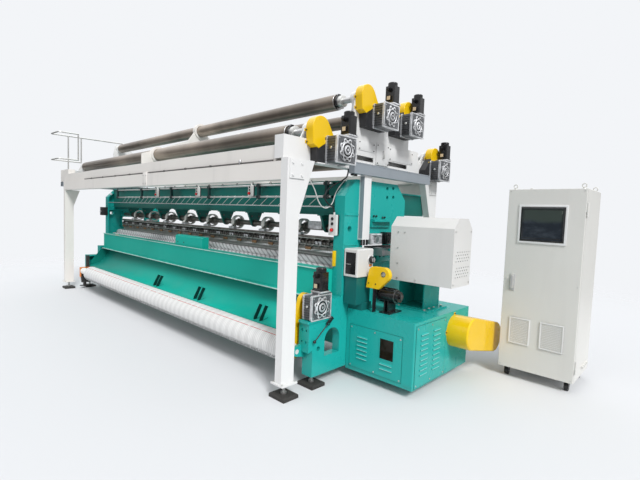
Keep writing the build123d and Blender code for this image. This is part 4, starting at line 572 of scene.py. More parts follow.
# Modelling by hand
def deselect():
    bpy.ops.object.select_all(action="DESELECT")


def only(piece):
    """Selects one piece and makes it the active one."""
    deselect()
    piece.select_set(True)
    bpy.context.view_layer.objects.active = piece


def apply_modifier(piece, kind, **settings):
    """Adds a modifier with its settings and applies it."""
    only(piece)
    modifier = piece.modifiers.new(kind, kind)
    for name, value in settings.items():
        setattr(modifier, name, value)
    bpy.ops.object.modifier_apply(modifier=modifier.name)
    return piece


def round_edges(piece, width, segments=2):
    """Rounds the sharp edges. A width of 0 leaves them sharp."""
    if width:
        apply_modifier(piece, "BEVEL", width=width, segments=segments, limit_method="ANGLE")
    return piece


def block(low, high, bevel=0.0, segments=2):
    """A box between two corners, with rounded edges."""
    deselect()
    bpy.ops.mesh.primitive_cube_add(size=1, location=[(a + b) / 2 for a, b in zip(low, high)])
    piece = bpy.context.object
    piece.scale = [b - a for a, b in zip(low, high)]
    bpy.ops.object.transform_apply()
    return round_edges(piece, bevel, segments)


def bar(start, end, radius, sides=24, bevel=0.0):
    """A round bar from one point to another."""
    deselect()
    start = Vector(start)
    way = Vector(end) - start
    bpy.ops.mesh.primitive_cylinder_add(vertices=sides, radius=radius, depth=way.length, location=start + way / 2)
    piece = bpy.context.object
    piece.rotation_euler = way.to_track_quat("Z", "Y").to_euler()
    bpy.ops.object.transform_apply()
    return round_edges(piece, bevel)


def ring(centre, axis, radius, wire, sides=32):
    """A round ring about an axis."""
    deselect()
    bpy.ops.mesh.primitive_torus_add(
        location=centre, rotation=axis.to_track_quat("Z", "Y").to_euler(), major_radius=radius, minor_radius=wire,
        major_segments=sides, minor_segments=10)
    bpy.ops.object.transform_apply()
    return bpy.context.object


def edit_faces(piece, *ways):
    """Enters edit mode with the faces selected that look along one of the ways."""
    only(piece)
    bpy.ops.object.mode_set(mode="EDIT")
    bpy.ops.mesh.select_mode(type="FACE")
    bpy.ops.mesh.select_all(action="DESELECT")
    bpy.ops.object.mode_set(mode="OBJECT")
    for face in piece.data.polygons:
        face.select = any(face.normal.dot(way) > 0.9 for way in ways)
    bpy.ops.object.mode_set(mode="EDIT")


def leave_edit(piece):
    bpy.ops.object.mode_set(mode="OBJECT")
    return piece


def sink(piece, way, rim, depth):
    """Insets the faces that look along the way by a rim and sinks what is inside it."""
    edit_faces(piece, way)
    bpy.ops.mesh.inset(thickness=rim)
    bpy.ops.mesh.extrude_region_move(TRANSFORM_OT_translate={"value": way * -depth})
    return leave_edit(piece)


def taper(piece, size, move=(0, 0, 0)):
    """Moves and shrinks the underside of a piece."""
    edit_faces(piece, -UP)
    bpy.ops.transform.translate(value=move)
    bpy.ops.transform.resize(value=size)
    return leave_edit(piece)


def sleeve(start, end, radius, wall):
    """An open round sleeve between two points of a line along the machine."""
    piece = bar(start, end, radius, sides=36)
    edit_faces(piece, DRIVE, -DRIVE)
    bpy.ops.mesh.delete(type="FACE")
    apply_modifier(leave_edit(piece), "SOLIDIFY", thickness=wall, offset=-1.0)
    return round_edges(piece, 0.0015, 1)


def bolt(radius, height, way):
    """A hexagon bolt head at the origin, standing out along the way."""
    piece = bar((0, 0, 0), way * height, radius, sides=6)
    return round_edges(sink(piece, way, radius * 0.18, height * -0.12), radius * 0.07, 1)


def screw(radius, height, way):
    """A round socket screw at the origin, standing out along the way."""
    return sink(bar((0, 0, 0), way * height, radius, sides=14), way, radius * 0.5, height * 0.6)


def join(pieces):
    """Makes several pieces one."""
    deselect()
    for piece in pieces:
        piece.select_set(True)
    bpy.context.view_layer.objects.active = pieces[0]
    bpy.ops.object.join()
    return pieces[0]


def twin(piece, change):
    """A copy of the piece with its mesh moved or turned by a matrix."""
    copy = piece.copy()
    copy.data = piece.data.copy()
    copy.data.transform(change)
    bpy.context.collection.objects.link(copy)
    return copy


def settle(piece, name, finish, body="machine"):
    """Joins a list of pieces, names the piece, gives it its finish and lets it ride on a body."""
    if isinstance(piece, list):
        piece = join(piece)
    only(piece)
    bpy.ops.object.transform_apply()
    bpy.ops.object.shade_smooth_by_angle(angle=SMOOTH_ANGLE)
    piece.name = name
    wear(piece, finish)
    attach(piece, body)


def row(piece, count, step, *looks):
    """Settles a row of copies, each moved on by the same step."""
    apply_modifier(
        piece, "ARRAY", count=count, use_relative_offset=False, use_constant_offset=True,
        constant_offset_displace=step)
    settle(piece, *looks)


def fasten(piece, points, *looks):
    """Settles copies of a piece made at the world's origin, one at each point, as one mesh."""
    first = Vector(points[0])
    piece.data.transform(Matrix.Translation(first))
    settle([piece] + [twin(piece, Matrix.Translation(Vector(point) - first)) for point in points[1:]], *looks)


# Camera, floor and light
def make_camera():
    bpy.ops.object.camera_add(location=CAMERA_PLACE, rotation=[math.radians(a) for a in CAMERA_TURN])
    camera = bpy.context.object
    camera.data.sensor_width = 36
    camera.data.lens = CAMERA_LENS
    camera.data.clip_end = 80
    bpy.context.scene.camera = camera


def make_floor():
    """A pale floor that fades into the backdrop."""
    deselect()
    bpy.ops.mesh.primitive_circle_add(vertices=96, radius=16, fill_type="NGON", location=FLOOR_MIDDLE)
    floor = bpy.context.object
    floor.name = "floor"
    bpy.ops.object.transform_apply()
    made = Finish("pale_floor", (0.66, 0.67, 0.685), 0.9, shine=0.1)
    x, y = (made.place(axis) - FLOOR_MIDDLE[axis] for axis in (0, 1))
    gone = (x * x + y * y).math("SQRT").ramp(*FLOOR_FADE)
    open_air = made.node("ShaderNodeBsdfTransparent", {})
    blend = made.node("ShaderNodeMixShader", {}, gone, Field(made, made.shader.outputs[0]), open_air)
    made.put(made.out.inputs[0], blend)
    floor.data.materials.append(made.material)


def make_world():
    """A plain backdrop for the camera, and a sky that lights the machine and shows brighter in its metals."""
    world = bpy.data.worlds.new("studio")
    bpy.context.scene.world = world
    graph = Graph(world)
    rays = ("Is Camera Ray", "Is Transmission Ray", "Is Glossy Ray")
    camera, glass, metal = (graph.node("ShaderNodeLightPath", {}, output=ray) for ray in rays)
    up = graph.part(graph.node("ShaderNodeTexCoord", {}), 2)
    sky = graph.node("ShaderNodeMapRange", {}, up, *SKY)
    glow = graph.node("ShaderNodeMapRange", {}, up, *GLOW)
    power = graph.node("ShaderNodeMix", {}, metal, None, sky, glow)
    lit = graph.node("ShaderNodeBackground", {}, SKY_COLOUR, power)
    seen = graph.node("ShaderNodeBackground", {}, BACKDROP)
    blend = graph.node("ShaderNodeMixShader", {}, camera.most(glass), lit, seen)
    graph.node("ShaderNodeOutputWorld", {}, blend)
    bpy.context.scene.view_settings.view_transform = "Standard"


def make_sun():
    """One broad sun from the drive end, high in front."""
    bpy.ops.object.light_add(type="SUN")
    sun = bpy.context.object
    sun.name = "broad_sun"
    sun.data.energy = SUN_POWER
    sun.data.angle = SUN_WIDTH
    sun.rotation_euler = Vector(SUN_WAY).to_track_quat("Z", "Y").to_euler()


def make_cable(name, node, route, diameter, finish):
    """A free cable on one smooth curve through its route, in place of its plain solid."""
    line = bpy.data.curves.new(name, "CURVE")
    line.dimensions = "3D"
    line.bevel_depth = diameter / 2
    line.bevel_resolution = 5
    line.resolution_u = 10
    line.use_fill_caps = True
    spline = line.splines.new("NURBS")
    spline.points.add(len(route) - 1)
    for point, place in zip(spline.points, route):
        point.co = (*place, 1)
    spline.order_u = 3
    spline.use_endpoint_u = True
    piece = bpy.data.objects.new(name, line)
    bpy.context.collection.objects.link(piece)
    wear(piece, finish)
    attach(piece, "machine")
    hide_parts(node)


# Let-off and take-up drives
def add_gear_frames():
    """The bright square rim round each gearbox front."""
    rims = []
    for face, y, z, width, height, depth in GEAR_BOXES:
        low = (face - 0.0055, y - width / 2 - 0.0006, z - height / 2 - 0.0006)
        high = (face + 0.0045, y + width / 2 + 0.0006, z + height / 2 + 0.0006)
        rims.append(round_edges(sink(block(low, high), DRIVE, 0.0115, 0.0095), 0.0016))
    settle(rims, "gearbox_rims", "casting")


def gear_cover():
    """A round cover with eight lobes, a raised ring and a hub, at the origin, looking to the drive end."""
    plate = bar((0, 0, 0), (0.0085, 0, 0), COVER_R, sides=40, bevel=0.002)
    lobe = bar((0, 0, COVER_R), (0.0085, 0, COVER_R), 0.0195, sides=14, bevel=0.0018)
    lobes = [twin(lobe, Matrix.Rotation(math.radians(45 * i), 4, "X")) for i in range(1, 8)]
    rim = ring((0.0085, 0, 0), DRIVE, 0.064, 0.0046, sides=40)
    hub = bar((0, 0, 0), (0.0125, 0, 0), 0.043, sides=32, bevel=0.003)
    seat = ring((0.0125, 0, 0), DRIVE, 0.029, 0.0034)
    cap = bar((0.0125, 0, 0), (0.017, 0, 0), 0.012, sides=20, bevel=0.001)
    cover = join([plate, lobe, *lobes, rim, hub, seat, cap])
    cover.data.transform(Matrix.Rotation(math.radians(22.5), 4, "X"))
    return cover


def add_gear_covers():
    """The round covers with their screws and with black discs painted as shade in their grooves, and the screws in
    the corners of the gearboxes.
    """
    points = [(face + 0.0005, y, z) for face, y, z, *_ in GEAR_BOXES]
    fasten(gear_cover(), points, "gearbox_covers", "casting")
    # Black discs in the groove round the hub and in the hub's well: painted shade of these recesses
    groove_shade = bar((0.006, 0, 0), (0.0089, 0, 0), 0.0575, sides=40)
    well_shade = bar((0.01, 0, 0), (0.0129, 0, 0), 0.024, sides=32)
    fasten(join([groove_shade, well_shade]), points, "gearbox_cover_grooves", "black")
    slots, corners = [], []
    for face, y, z, width, height, depth in GEAR_BOXES:
        for turn in (math.pi / 8 * (2 * i + 1) for i in range(8)):
            slots.append((face + 0.009, y + COVER_R * math.cos(turn), z + COVER_R * math.sin(turn)))
        corners += [(face, y + a * (width / 2 - 0.025), z + b * (height / 2 - 0.025)) for a, b in CORNERS]
    fasten(screw(0.0058, 0.003, DRIVE), slots, "cover_screws", "dark_steel")
    fasten(screw(0.0075, 0.0045, DRIVE), corners, "gearbox_corner_screws", "steel")


def add_gear_sides():
    """Screws on the flanges, a plug in the middle and cooling ribs on the side that looks to the front."""
    heads, plugs, ribs = [], [], []
    for face, y, z, width, height, depth in GEAR_BOXES:
        side = y - width / 2
        back = face - depth
        heads += [(x, side, z + a * (height / 2 - 0.028)) for x in (back + 0.008, face - 0.013) for a in (-1, 1)]
        plugs.append(((back + face) / 2, side + 0.008, z + 0.012))
        for i in range(9):
            low = z - height / 2 + 0.028 + i * (height - 0.06) / 8
            ribs.append(block((back + 0.018, side + 0.0015, low - 0.002), (face - 0.022, side + 0.009, low + 0.002)))
    fasten(screw(0.0062, 0.005, FRONT), heads, "flange_screws", "steel")
    fasten(bolt(0.013, 0.012, FRONT), plugs, "oil_plugs", "zinc")
    settle(ribs, "gearbox_ribs", "iron")


def add_motor_parts():
    """Flange plates, plug covers and blank side plates of the servo motors."""
    plates, labels, covers = [], [], []
    half = 0.063
    for x, y, z in MOTORS:
        plates.append(block((x - half, y - half, z + 0.0005), (x + half, y + half, z + 0.0148), 0.003))
        labels.append(block((x - 0.019, y - 0.0688, z + 0.044), (x + 0.019, y - 0.0678, z + 0.08), 0.0003, 1))
        covers.append(bar((x, y - 0.086, z + 0.148), (x, y - 0.0925, z + 0.148), 0.0165, sides=20, bevel=0.002))
        covers.append(bar((x, y, z + 0.2215), (x, y, z + 0.2235), 0.034, sides=28, bevel=0.001))
        for spot in ((x + a * 0.0495, y + b * 0.0495) for a, b in CORNERS):
            covers.append(bar((*spot, z + 0.012), (*spot, z + 0.024), 0.0075, sides=10))
    settle(plates, "motor_flange_plates", "casting")
    settle(labels, "motor_side_plates", "label")
    settle(covers, "motor_plugs_and_screws", "black")


def add_guard_fixings():
    """Screws through the guards' lugs, and the tab with its screw beside each gearbox."""
    heads, tabs, screws = [], [], []
    for (y, z), (gear_y, gear_z) in zip(SHAFTS, GEARS):
        heads += [(-0.0197, y - 0.115, z - 0.02), (-0.0197, y - 0.103, z - 0.118)]
        tabs.append(block((0.047, gear_y - 0.14, gear_z + 0.078), (0.0575, gear_y - 0.112, gear_z + 0.104), 0.004))
        screws.append((0.0575, gear_y - 0.127, gear_z + 0.092))
    fasten(bolt(0.0085, 0.006, DRIVE), heads, "guard_screws", "dark_steel")
    settle(tabs, "gearbox_tabs", "yellow")
    fasten(bolt(0.011, 0.007, DRIVE), screws, "tab_screws", "dark_steel")


def add_shaft_clamps():
    """The tube end, its weld seam and the split clamp beside each bearing of the beam shafts."""
    for name, (y, z) in zip(SHAFT_NAMES, SHAFTS):
        body = "beam_shaft_" + name
        settle(bar((-0.455, y, z), (-0.341, y, z), 0.0799, sides=64), "tube_end_" + name, "shaft", body)
        clamp = bar((-0.338, y, z), (-0.306, y, z), 0.064, sides=40, bevel=0.003)
        ears = block((-0.336, y - 0.018, z + 0.052), (-0.312, y + 0.018, z + 0.079), 0.003)
        settle([clamp, ears], "clamp_ring_" + name, "black", body)
        collar = bar((-0.298, y, z), (-0.256, y, z), 0.0585, sides=40, bevel=0.003)
        settle(collar, "clamp_collar_" + name, "zinc", body)
        settle(ring((-0.341, y, z), DRIVE, 0.075, 0.0035, sides=48), "weld_seam_" + name, "steel", body)
        pin = bar((-0.325, y - 0.026, z + 0.068), (-0.325, y + 0.026, z + 0.068), 0.006, sides=12)
        settle(pin, "clamp_screw_" + name, "steel", body)


# Columns and frames
def add_column_fixings():
    """The screws of the columns' foot plates."""
    feet = [(x, y) for x in (0, -6.06) for y in (0, 2.33)]
    heads = [(x + dx, y + dy, 0.134) for x, y in feet for dx in (-0.057, 0.057) for dy in (-0.07, 0.07)]
    fasten(bolt(0.0095, 0.007, UP), heads, "foot_plate_screws", "zinc")


def add_frame_details():
    """The parts bolted to the drive-end frame round its window."""
    clamp = block((FRAME_FACE, 1.01, 1.266), (0.092, 1.205, 1.376), 0.006)
    settle(sink(clamp, DRIVE, 0.014, 0.012), "swing_clamp_block", "casting")
    shaft_end = bar((0.08, 1.1, 1.322), (0.112, 1.1, 1.322), 0.03, sides=28, bevel=0.004)
    settle(shaft_end, "swing_shaft_end", "steel")
    head = bar((FRAME_FACE, 0.975, 1.405), (0.07, 0.975, 1.405), 0.04, sides=32, bevel=0.004)
    settle(head, "swing_bearing_cap", "casting")
    settle(block((FRAME_FACE, 1.236, 1.266), (0.118, 1.34, 1.39), 0.005), "lever_stop_block", "black")
    settle(block((FRAME_FACE, 1.17, 1.08), (0.058, 1.425, 1.2), 0.004), "bearing_plate", "teal_bright")
    for name, low, high in (("upper", 1.546, 1.566), ("lower", 1.262, 1.276)):
        settle(block((0.043, 0.662, low), (0.0505, 0.856, high), 0.003), "web_ledge_" + name, "teal_bright")
    heads = [(0.058, 1.22, 1.14), (0.058, 1.29, 1.14), (0.118, 1.288, 1.292), (0.118, 1.288, 1.364)]
    heads += [(0.0508, y, z) for y, z in ((1.097, 1.551), (1.14, 1.551), (1.25, 1.54), (1.287, 1.54))]
    fasten(bolt(0.0115, 0.008, DRIVE), heads, "frame_screws", "black")
    settle(block((-0.062, 0.617, 1.062), (-0.04, 0.6497, 1.208), 0.003), "height_mark", "yellow")
    settle(block((FRAME_FACE, 0.96, 1.214), (0.074, 1.415, 1.254), 0.006), "lever_rail", "black")
    stubs = [bar((0.074, y, 1.338), (0.074, y, 1.262), 0.011, sides=14, bevel=0.003) for y in (0.885, 0.925, 0.968)]
    settle(stubs, "duct_cable_stubs", "plastic")
    settle(block((-0.062, 1.7, 1.566), (-0.05, 2.255, 1.808), 0.003), "rear_panel", "teal_dark")
    settle(block((-0.07, 1.7, 1.804), (-0.04, 2.255, 1.822), 0.003), "rear_panel_edge", "teal_bright")
    # A black plate behind the shoulder holes so they read dark: painted shade
    settle(block((0.0165, 1.29, 1.71), (0.0207, 1.48, 1.89), 0.001), "shoulder_hole_shade_plate", "black")


def add_far_switch():
    """The black switch with its bright pin on the front edge of the far frame, and an eye above it."""
    settle(block((-6.095, 0.545, 1.372), (-5.985, 0.6497, 1.53), 0.006), "far_switch", "black_dull")
    settle(bar((-6.035, 0.545, 1.44), (-6.035, 0.528, 1.44), 0.022, bevel=0.003), "far_switch_pin", "steel")
    settle(bar((-5.978, 0.7, 1.79), (-5.96, 0.7, 1.79), 0.022, bevel=0.003), "far_frame_eye", "casting")


def add_tower_plates():
    """Plates screwed on the drive-end cross head, with their handle."""
    face = -0.025
    spots = (
        (0.895, 1.16, 2.19, 2.286), (1.425, 1.9, 2.15, 2.286), (0.895, 1.16, 2.01, 2.078), (1.44, 1.96, 2.01, 2.078))
    plates = [block((face, y0, z0), (face + 0.0045, y1, z1), 0.002) for y0, y1, z0, z1 in spots]
    plates.append(block((face, 1.188, 2.078), (face + 0.01, 1.408, 2.296), 0.004))
    settle(plates, "tower_plates", "white")
    heads = []
    for y0, y1, z0, z1 in spots:
        heads += [(face + 0.0045, y, z) for y in (y0 + 0.016, y1 - 0.016) for z in (z0 + 0.016, z1 - 0.016)]
    heads += [(face + 0.01, y, z) for y in (1.206, 1.39) for z in (2.096, 2.278)]
    fasten(screw(0.0065, 0.004, DRIVE), heads, "tower_plate_screws", "dark_steel")
    grip = [bar((face + 0.01, 1.298, z), (face + 0.03, 1.298, z), 0.0055, sides=12) for z in (2.152, 2.222)]
    grip.append(bar((face + 0.03, 1.298, 2.146), (face + 0.03, 1.298, 2.228), 0.006, sides=12, bevel=0.002))
    settle(grip, "tower_grip", "zinc")


def add_top_beam_parts():
    """The pipe along the front top beam with its clips and valve, and the plate over the beam's joint."""
    pipe = [bar((x0, *PIPE), (x1, *PIPE), 0.0065, sides=12) for x0, x1 in ((-2.55, -0.16), (-4.95, -2.68))]
    for x in (-0.62 - 0.5 * i for i in range(9)):
        pipe.append(block((x - 0.012, -0.069, 1.9703), (x + 0.012, -0.0505, 1.992), 0.003))
    settle(pipe, "beam_pipe", "dark_steel")
    settle(bar((-0.62, -0.06, 1.966), (-0.62, -0.06, 2.012), 0.013, sides=16, bevel=0.003), "pipe_valve", "steel")
    # The joint plate takes the beam's painted warm bounce light
    settle(block((-2.67, -0.0755, 1.816), (-2.56, -0.05, 1.99), 0.003), "beam_joint", "white_warm_bounce")
    heads = [(x, -0.0755, z) for x in (-2.65, -2.58) for z in (1.85, 1.95)]
    fasten(bolt(0.009, 0.006, FRONT), heads, "beam_joint_screws", "zinc")


# Knitting zone
def add_thread_guides():
    """Slanting wires from the lower rail to a thin rod, and the collars and loops on the rails."""
    upper = bar((0, 0, 0), (-0.072, -0.006, -0.052), 0.0032, sides=8)
    lower = bar((-0.072, -0.006, -0.052), (-0.105, -0.02, -0.088), 0.0032, sides=8)
    hook = ring((0, 0, 0.01), DRIVE, 0.013, 0.0032, sides=14)
    wire = join([upper, lower, hook])
    wire.data.transform(Matrix.Translation((-0.33, RAIL_Y, 1.7115)))
    count = int((RAIL_X[1] - RAIL_X[0] - 0.42) / WIRE_PITCH)
    row(wire, count, (-WIRE_PITCH, 0, 0), "thread_wires", "zinc")
    settle(bar((-5.9, 0.64, 1.624), (-0.1, 0.64, 1.624), 0.0065, sides=14), "thread_rod", "round_steel")
    holders = [block((x - 0.006, 0.634, 1.612), (x + 0.006, 0.7345, 1.636), 0.002) for x in (*ARMS, -5.88, -0.12)]
    settle(holders, "thread_rod_holders", "teal_dark")
    rings = []
    for x, z, dx in ((x, z, dx) for x in ARMS for z in RAIL_Z for dx in (-0.026, 0.026)):
        rings.append(bar((x + dx - 0.008, RAIL_Y, z), (x + dx + 0.008, RAIL_Y, z), 0.0205, sides=20, bevel=0.002))
    for i in range(17):
        rings.append(ring((-0.42 - LEAD_PITCH * i, RAIL_Y, RAIL_Z[1] + 0.022), BACK, 0.014, 0.0035, sides=16))
    settle(rings, "rail_collars_and_loops", "iron")


def add_guides():
    """Combs of guide needles, their leads with springs, and what carries the bars on the swing shaft."""
    body = "guide_bar_carriage"
    count = int((GUIDE_X[1] - GUIDE_X[0]) / NEEDLE_PITCH)
    for name, y, z0, z1, lean in (("low", 0.872, 1.118, 1.176, 0.01), ("mid", 0.85, 1.19, 1.24, 0.008)):
        blade = block((GUIDE_X[0], y - 0.003, z0), (GUIDE_X[0] + 0.0022, y + 0.003, z1))
        taper(blade, (0.5, 0.4, 1), (0, lean, 0))
        row(blade, count, (NEEDLE_PITCH, 0, 0), "guide_needles_" + name, "zinc", body)
    lead = block((-5.74, 0.836, 1.166), (-5.655, 0.851, 1.196), 0.003)
    row(lead, 17, (LEAD_PITCH, 0, 0), "guide_leads", "bronze", body)
    lead = block((-5.6, 0.838, 1.232), (-5.5, 0.849, 1.262), 0.003)
    row(lead, 17, (LEAD_PITCH, 0, 0), "upper_leads", "casting", body)
    spring = bar((-5.725, 0.846, 1.268), (-5.7, 0.832, 1.232), 0.005, sides=8)
    row(spring, 104, (LEAD_PITCH / 6, 0, 0), "lead_springs", "black", body)
    clamps, arches, heads = [], [], []
    for x in ((a + b) / 2 for a, b in zip(HANGERS[:-1], HANGERS[1:])):
        clamps.append(block((x - 0.055, 0.842, 1.3183), (x + 0.055, 0.902, 1.346), 0.005))
        arches.append(sleeve((x - 0.07, *SWING), (x - 0.012, *SWING), 0.09, 0.016))
        heads += [(x + dx, 0.872, 1.346) for dx in (-0.038, 0.038)]
    clamps.append(taper(block((-0.715, 0.925, 1.385), (-0.505, 1, 1.47), 0.01), (0.78, 1, 1)))
    settle(clamps, "bar_clamps", "casting", body)
    # The rings stand in shade under the main beam: painted warm bounce light
    settle(arches, "swing_arm_rings", "white_warm_bounce", body)
    settle(block((-5.74, 0.904, 1.188), (-0.3, 0.908, 1.312), 0.001), "guide_bar_back", "bars", body)
    lines = ((0.833, 1.292, 0.0045), (0.831, 1.224, 0.0035), (0.84, 1.128, 0.0035))
    rods = [bar((-5.735, y, z), (-0.305, y, z), radius, sides=10) for y, z, radius in lines]
    settle(rods, "guide_bar_rods", "zinc", body)
    fasten(bolt(0.009, 0.008, UP), heads, "bar_clamp_screws", "zinc", body)


def add_needles():
    """The comb of knitting needles and the cover plates on the front of its bar."""
    blade = block((-5.88, 0.9835, 1.134), (-5.878, 0.9865, 1.162))
    row(blade, 478, (NEEDLE_PITCH, 0, 0), "knitting_needles", "zinc", "needle_bar")
    plate = block((-5.9, 0.9555, 1.07), (-5.7, 0.9568, 1.098), 0.0005, 1)
    row(plate, 27, (0.213, 0, 0), "needle_bar_covers", "dark_steel", "needle_bar")


def add_hanger_screws():
    """The screws and the open bearing caps of the swing shaft's hangers."""
    heads = [(x + 0.014, SWING[0] + dy, 1.49) for x in HANGERS for dy in (-0.055, 0.055)]
    fasten(bolt(0.012, 0.009, DRIVE), heads, "hanger_screws", "dark_steel")
    caps = [sleeve((x + 0.014, *SWING), (x + 0.02, *SWING), 0.044, 0.011) for x in HANGERS]
    settle(caps, "hanger_caps", "dark_steel")


# Front beam, housing and what stands on it
def add_beam_details():
    """Black discs as painted shade in two holes of the front beam's hood, and a pale pad on its lip."""
    # The holes are black discs: painted shade
    hole_shade_discs = [bar((x, 0.5955, 1.078), (x, 0.593, 1.078), 0.011, sides=16) for x in (-3.035, -2.86)]
    settle(hole_shade_discs, "hood_hole_shade", "black_dull")
    settle(block((-5.3, 0.545, 1.0305), (-5.2, 0.575, 1.04), 0.002), "lip_pad", "label")


def add_housing_details():
    """Screws, window and louvres of the housing panels, with dark strips as painted shade in the panel joints, black
    blocks as painted shade in the louvres' openings and pale bars as painted highlights on the louvres' lips.
    """
    heads = [(x, PANEL_FACE, z) for x in (0.111, 0.381, 0.651) for z in (0.136, 0.498)]
    fasten(screw(0.0075, 0.004, FRONT), heads, "front_panel_screws", "zinc")
    heads = [(SIDE_FACE, y, z) for y in (0.8, 1.045, 1.29) for z in (0.115, 0.609)]
    fasten(screw(0.0075, 0.004, DRIVE), heads, "side_panel_screws", "zinc")
    # Dark strips in the joints round the panels: painted shade of the gaps
    joint_shade_strips = [block((x, PANEL_FACE, 0.116), (x + 0.003, 0.7475, 0.522)) for x in (0.0912, 0.6678)]
    joint_shade_strips += [block((0.0912, PANEL_FACE, z), (0.6708, 0.7475, z + 0.003)) for z in (0.1152, 0.5198)]
    joint_shade_strips += [block((0.78, y, 0.0892), (SIDE_FACE, y + 0.003, 0.6348)) for y in (0.7752, 1.3118)]
    joint_shade_strips += [block((0.78, 0.7752, z), (SIDE_FACE, 1.3148, z + 0.003)) for z in (0.0892, 0.6318)]
    settle(joint_shade_strips, "panel_joint_shade_strips", "teal_dark")
    nuts = [(0.632, y, 0.693) for y in (1.245, 1.335, 1.485)] + [(x, 1.183, 0.6812) for x in (0.34, 0.618)]
    fasten(bolt(0.0125, 0.009, UP), nuts, "pedestal_screws", "zinc")
    settle(block((0.4385, 0.745, 0.2815), (0.5815, 0.7463, 0.4625), 0.0003, 1), "housing_window", "glass")
    slots, lip_highlights = [], []
    front = [(0.184, 0.302, 0.224 + 0.04 * i) for i in range(6)] + [(0.446, 0.576, 0.196 + 0.044 * i) for i in (0, 1)]
    for x0, x1, z in front:
        slots.append(block((x0 + 0.004, 0.7362, z - 0.0102), (x1 - 0.004, 0.745, z - 0.0092)))
        ends = [(x, PANEL_FACE - LIP_OUT, z - 0.0068) for x in (x0 + 0.001, x1 - 0.001)]
        lip_highlights.append(bar(*ends, LIP_R, sides=8))
    for y0, y1, z in ((y0, y1, 0.2 + 0.044 * i) for i in range(9) for y0, y1 in ((0.852, 0.974), (1.074, 1.198))):
        slots.append(block((0.783, y0 + 0.004, z - 0.0102), (0.7915, y1 - 0.004, z - 0.0092)))
        ends = [(SIDE_FACE + LIP_OUT, y, z - 0.0068) for y in (y0 + 0.001, y1 - 0.001)]
        lip_highlights.append(bar(*ends, LIP_R, sides=8))
    # Black blocks in the louvres' openings: painted shade
    settle(slots, "louvre_slot_shade", "black_dull")
    # Pale bars along the louvres' lips: painted highlights
    settle(lip_highlights, "louvre_lip_highlights", "lip_highlight")
    heads = [(0.7835, 1.325, 0.481), (0.7835, 1.487, 0.64)]
    fasten(bolt(0.0075, 0.005, DRIVE), heads, "motor_guard_screws", "black")


def add_cover_details():
    """The screws of the pattern cover."""
    spots = ((0.382, 1.409), (0.451, 1.41), (0.383, 1.262), (0.386, 1.115), (0.389, 0.975), (0.583, 0.975))
    fasten(screw(0.0075, 0.004, FRONT), [(x, 1.0498, z) for x, z in spots], "cover_screws_front", "zinc")
    heads = [(0.9352, y, z) for y in (1.075, 1.385) for z in (0.98, 1.44)]
    fasten(screw(0.0065, 0.004, DRIVE), heads, "cover_screws_end", "zinc")


def add_lubricator_details():
    """The lubricator's panel, dial and tab, and the fittings of the pump and its guard."""
    settle(block((0.066, 0.6655, 0.99), (0.193, 0.6675, 1.213), 0.0006, 1), "lubricator_panel", "black")
    settle(block((0.075, 0.664, 1.095), (0.13, 0.6658, 1.1), 0.0004, 1), "lubricator_line", "zinc")
    settle(ring((0.22, 0.85, 1.14), DRIVE, 0.0355, 0.0028, sides=40), "knob_seat", "casting")
    dial = bar((0.2518, 0.85, 1.14), (0.2545, 0.85, 1.14), 0.0225, sides=32, bevel=0.001)
    bridge = block((0.2545, 0.8455, 1.118), (0.2628, 0.8545, 1.162), 0.002)
    settle([dial, bridge], "knob_dial", "casting", "lubricator_knob")
    settle(block((0.2115, 0.838, 1.078), (0.2205, 0.872, 1.096), 0.002), "drip_tab", "orange")
    settle(ring((0.408, 0.7895, 1.028), BACK, 0.0225, 0.0028, sides=28), "pump_guard_ring", "dark_steel")
    settle(bar((0.408, 0.8, 1.028), (0.408, 0.794, 1.028), 0.018, bevel=0.001), "pump_guard_plug", "zinc")
    fasten(screw(0.006, 0.004, FRONT), [(0.252, 0.79, 0.93), (0.33, 0.79, 0.93)], "pump_guard_screws", "black")
    face = bar((0.5355, 0.912, 0.824), (0.542, 0.912, 0.824), 0.024, bevel=0.002)
    band = bar((0.485, 0.912, 0.824), (0.489, 0.912, 0.824), 0.0655, sides=40, bevel=0.001)
    settle([face, band], "pump_rings", "dark_steel")


def add_duct_details():
    """Screws, glands and front cover of the wiring duct."""
    heads = [(0.1302, 0.72 + 0.215 * i, 2.033) for i in range(7)]
    fasten(screw(0.005, 0.003, DRIVE), heads, "duct_screws", "zinc")
    glands = [bar((0.074, y, 1.9353), (0.074, y, 1.918), 0.016, sides=16, bevel=0.002) for y in (0.7, 0.752)]
    settle(glands, "duct_glands", "plastic")
    settle(block((0.0525, 0.857, 1.33), (0.1, 0.8583, 1.925), 0.0005, 1), "duct_front_cover", "duct")


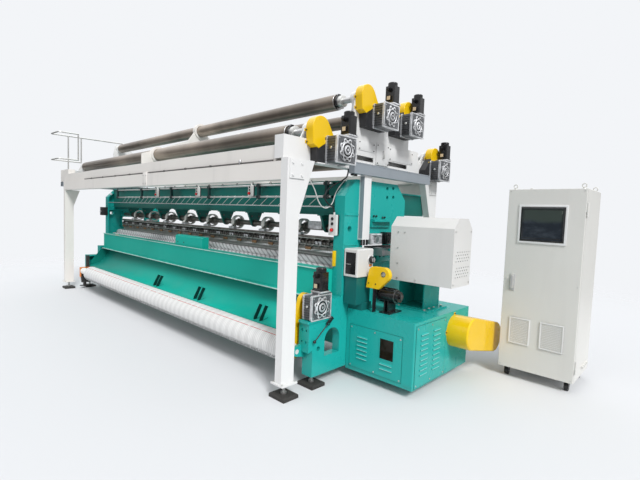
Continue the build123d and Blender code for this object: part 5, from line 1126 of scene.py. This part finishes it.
# Control cabinet
def add_cabinet_details():
    """Frames of the screen and the vents, the handle's plate, and small parts of door, roof and castors."""
    door = "cabinet_door"
    bezel = block((1.181, 1.9395, 1.368), (1.557, 1.9425, 1.692), 0.002)
    settle(sink(bezel, FRONT, 0.014, 0.0022), "screen_bezel", "plastic", door)
    settle(block((1.208, 1.9385, 1.402), (1.53, 1.9402, 1.664), 0.0008, 1), "screen_pane", "display", door)
    rim = sink(block((1.16, 1.9405, 1.345), (1.578, 1.9495, 1.715)), FRONT, 0.02, 0.007)
    settle(round_edges(rim, 0.0025), "screen_frame", "white", door)
    settle(block((1.113, 1.945, 0.872), (1.161, 1.9495, 1.034), 0.002), "handle_plate", "zinc_grey", door)
    for name, x0, x1 in (("left", 1.137, 1.325), ("right", 1.413, 1.613)):
        rim = sink(block((x0, 1.94, 0.356), (x1, 1.949, 0.612)), FRONT, 0.011, 0.007)
        settle(round_edges(rim, 0.0015), "vent_frame_" + name, "white", door)
        back = block((x0 + 0.0115, 1.9462, 0.3675), (x1 - 0.0115, 1.9466, 0.6005))
        settle(back, "vent_back_" + name, "cover", door)
        mesh = []
        for z in (0.372 + 0.016 * i for i in range(15)):
            mesh.append(block((x0 + 0.014, 1.9435, z - 0.0015), (x1 - 0.014, 1.9448, z + 0.0015)))
        for x in (x0 + 0.014 + (x1 - x0 - 0.028) * i / 10 for i in range(11)):
            mesh.append(block((x - 0.0008, 1.944, 0.366), (x + 0.0008, 1.9449, 0.602)))
        settle(mesh, "vent_mesh_" + name, "white", door)
    screws = [(x, 1.9499, z) for x in (1.075, 1.691) for z in (0.125, 0.98, 1.842)]
    fasten(screw(0.005, 0.002, FRONT), screws, "door_screws", "zinc", door)
    collars = [ring((x, y, 1.866), UP, 0.015, 0.003, sides=20) for x in (1.093, 1.673) for y in (2.015, 2.52)]
    settle(collars, "eye_bolt_collars", "zinc")
    wheels = [(x, y) for x in (1.117, 1.649) for y in (2.043, 2.508)]
    axles = [bar((x - 0.0215, y, 0.037), (x + 0.0215, y, 0.037), 0.008, sides=14, bevel=0.001) for x, y in wheels]
    settle(axles, "castor_axles", "steel")


# Far end walkway
def add_walkway():
    """The slats of the grating."""
    row(block((-6.322, -0.05, 1.9705), (-6.218, -0.046, 1.9765)), 60, (0, 0.041, 0), "walkway_grating", "zinc")


make_camera()
make_cable("supply_cable", "cable_black", BLACK_ROUTE, 0.014, "cable")
make_cable("sensor_cable", "cable_white", WHITE_ROUTE, 0.009, "pale_cable")
make_floor()
make_world()
make_sun()
dress_nodes()
add_gear_frames()
add_gear_covers()
add_gear_sides()
add_motor_parts()
add_guard_fixings()
add_shaft_clamps()
add_column_fixings()
add_frame_details()
add_far_switch()
add_tower_plates()
add_top_beam_parts()
add_thread_guides()
add_guides()
add_needles()
add_hanger_screws()
add_beam_details()
add_housing_details()
add_cover_details()
add_lubricator_details()
add_duct_details()
add_cabinet_details()
add_walkway()
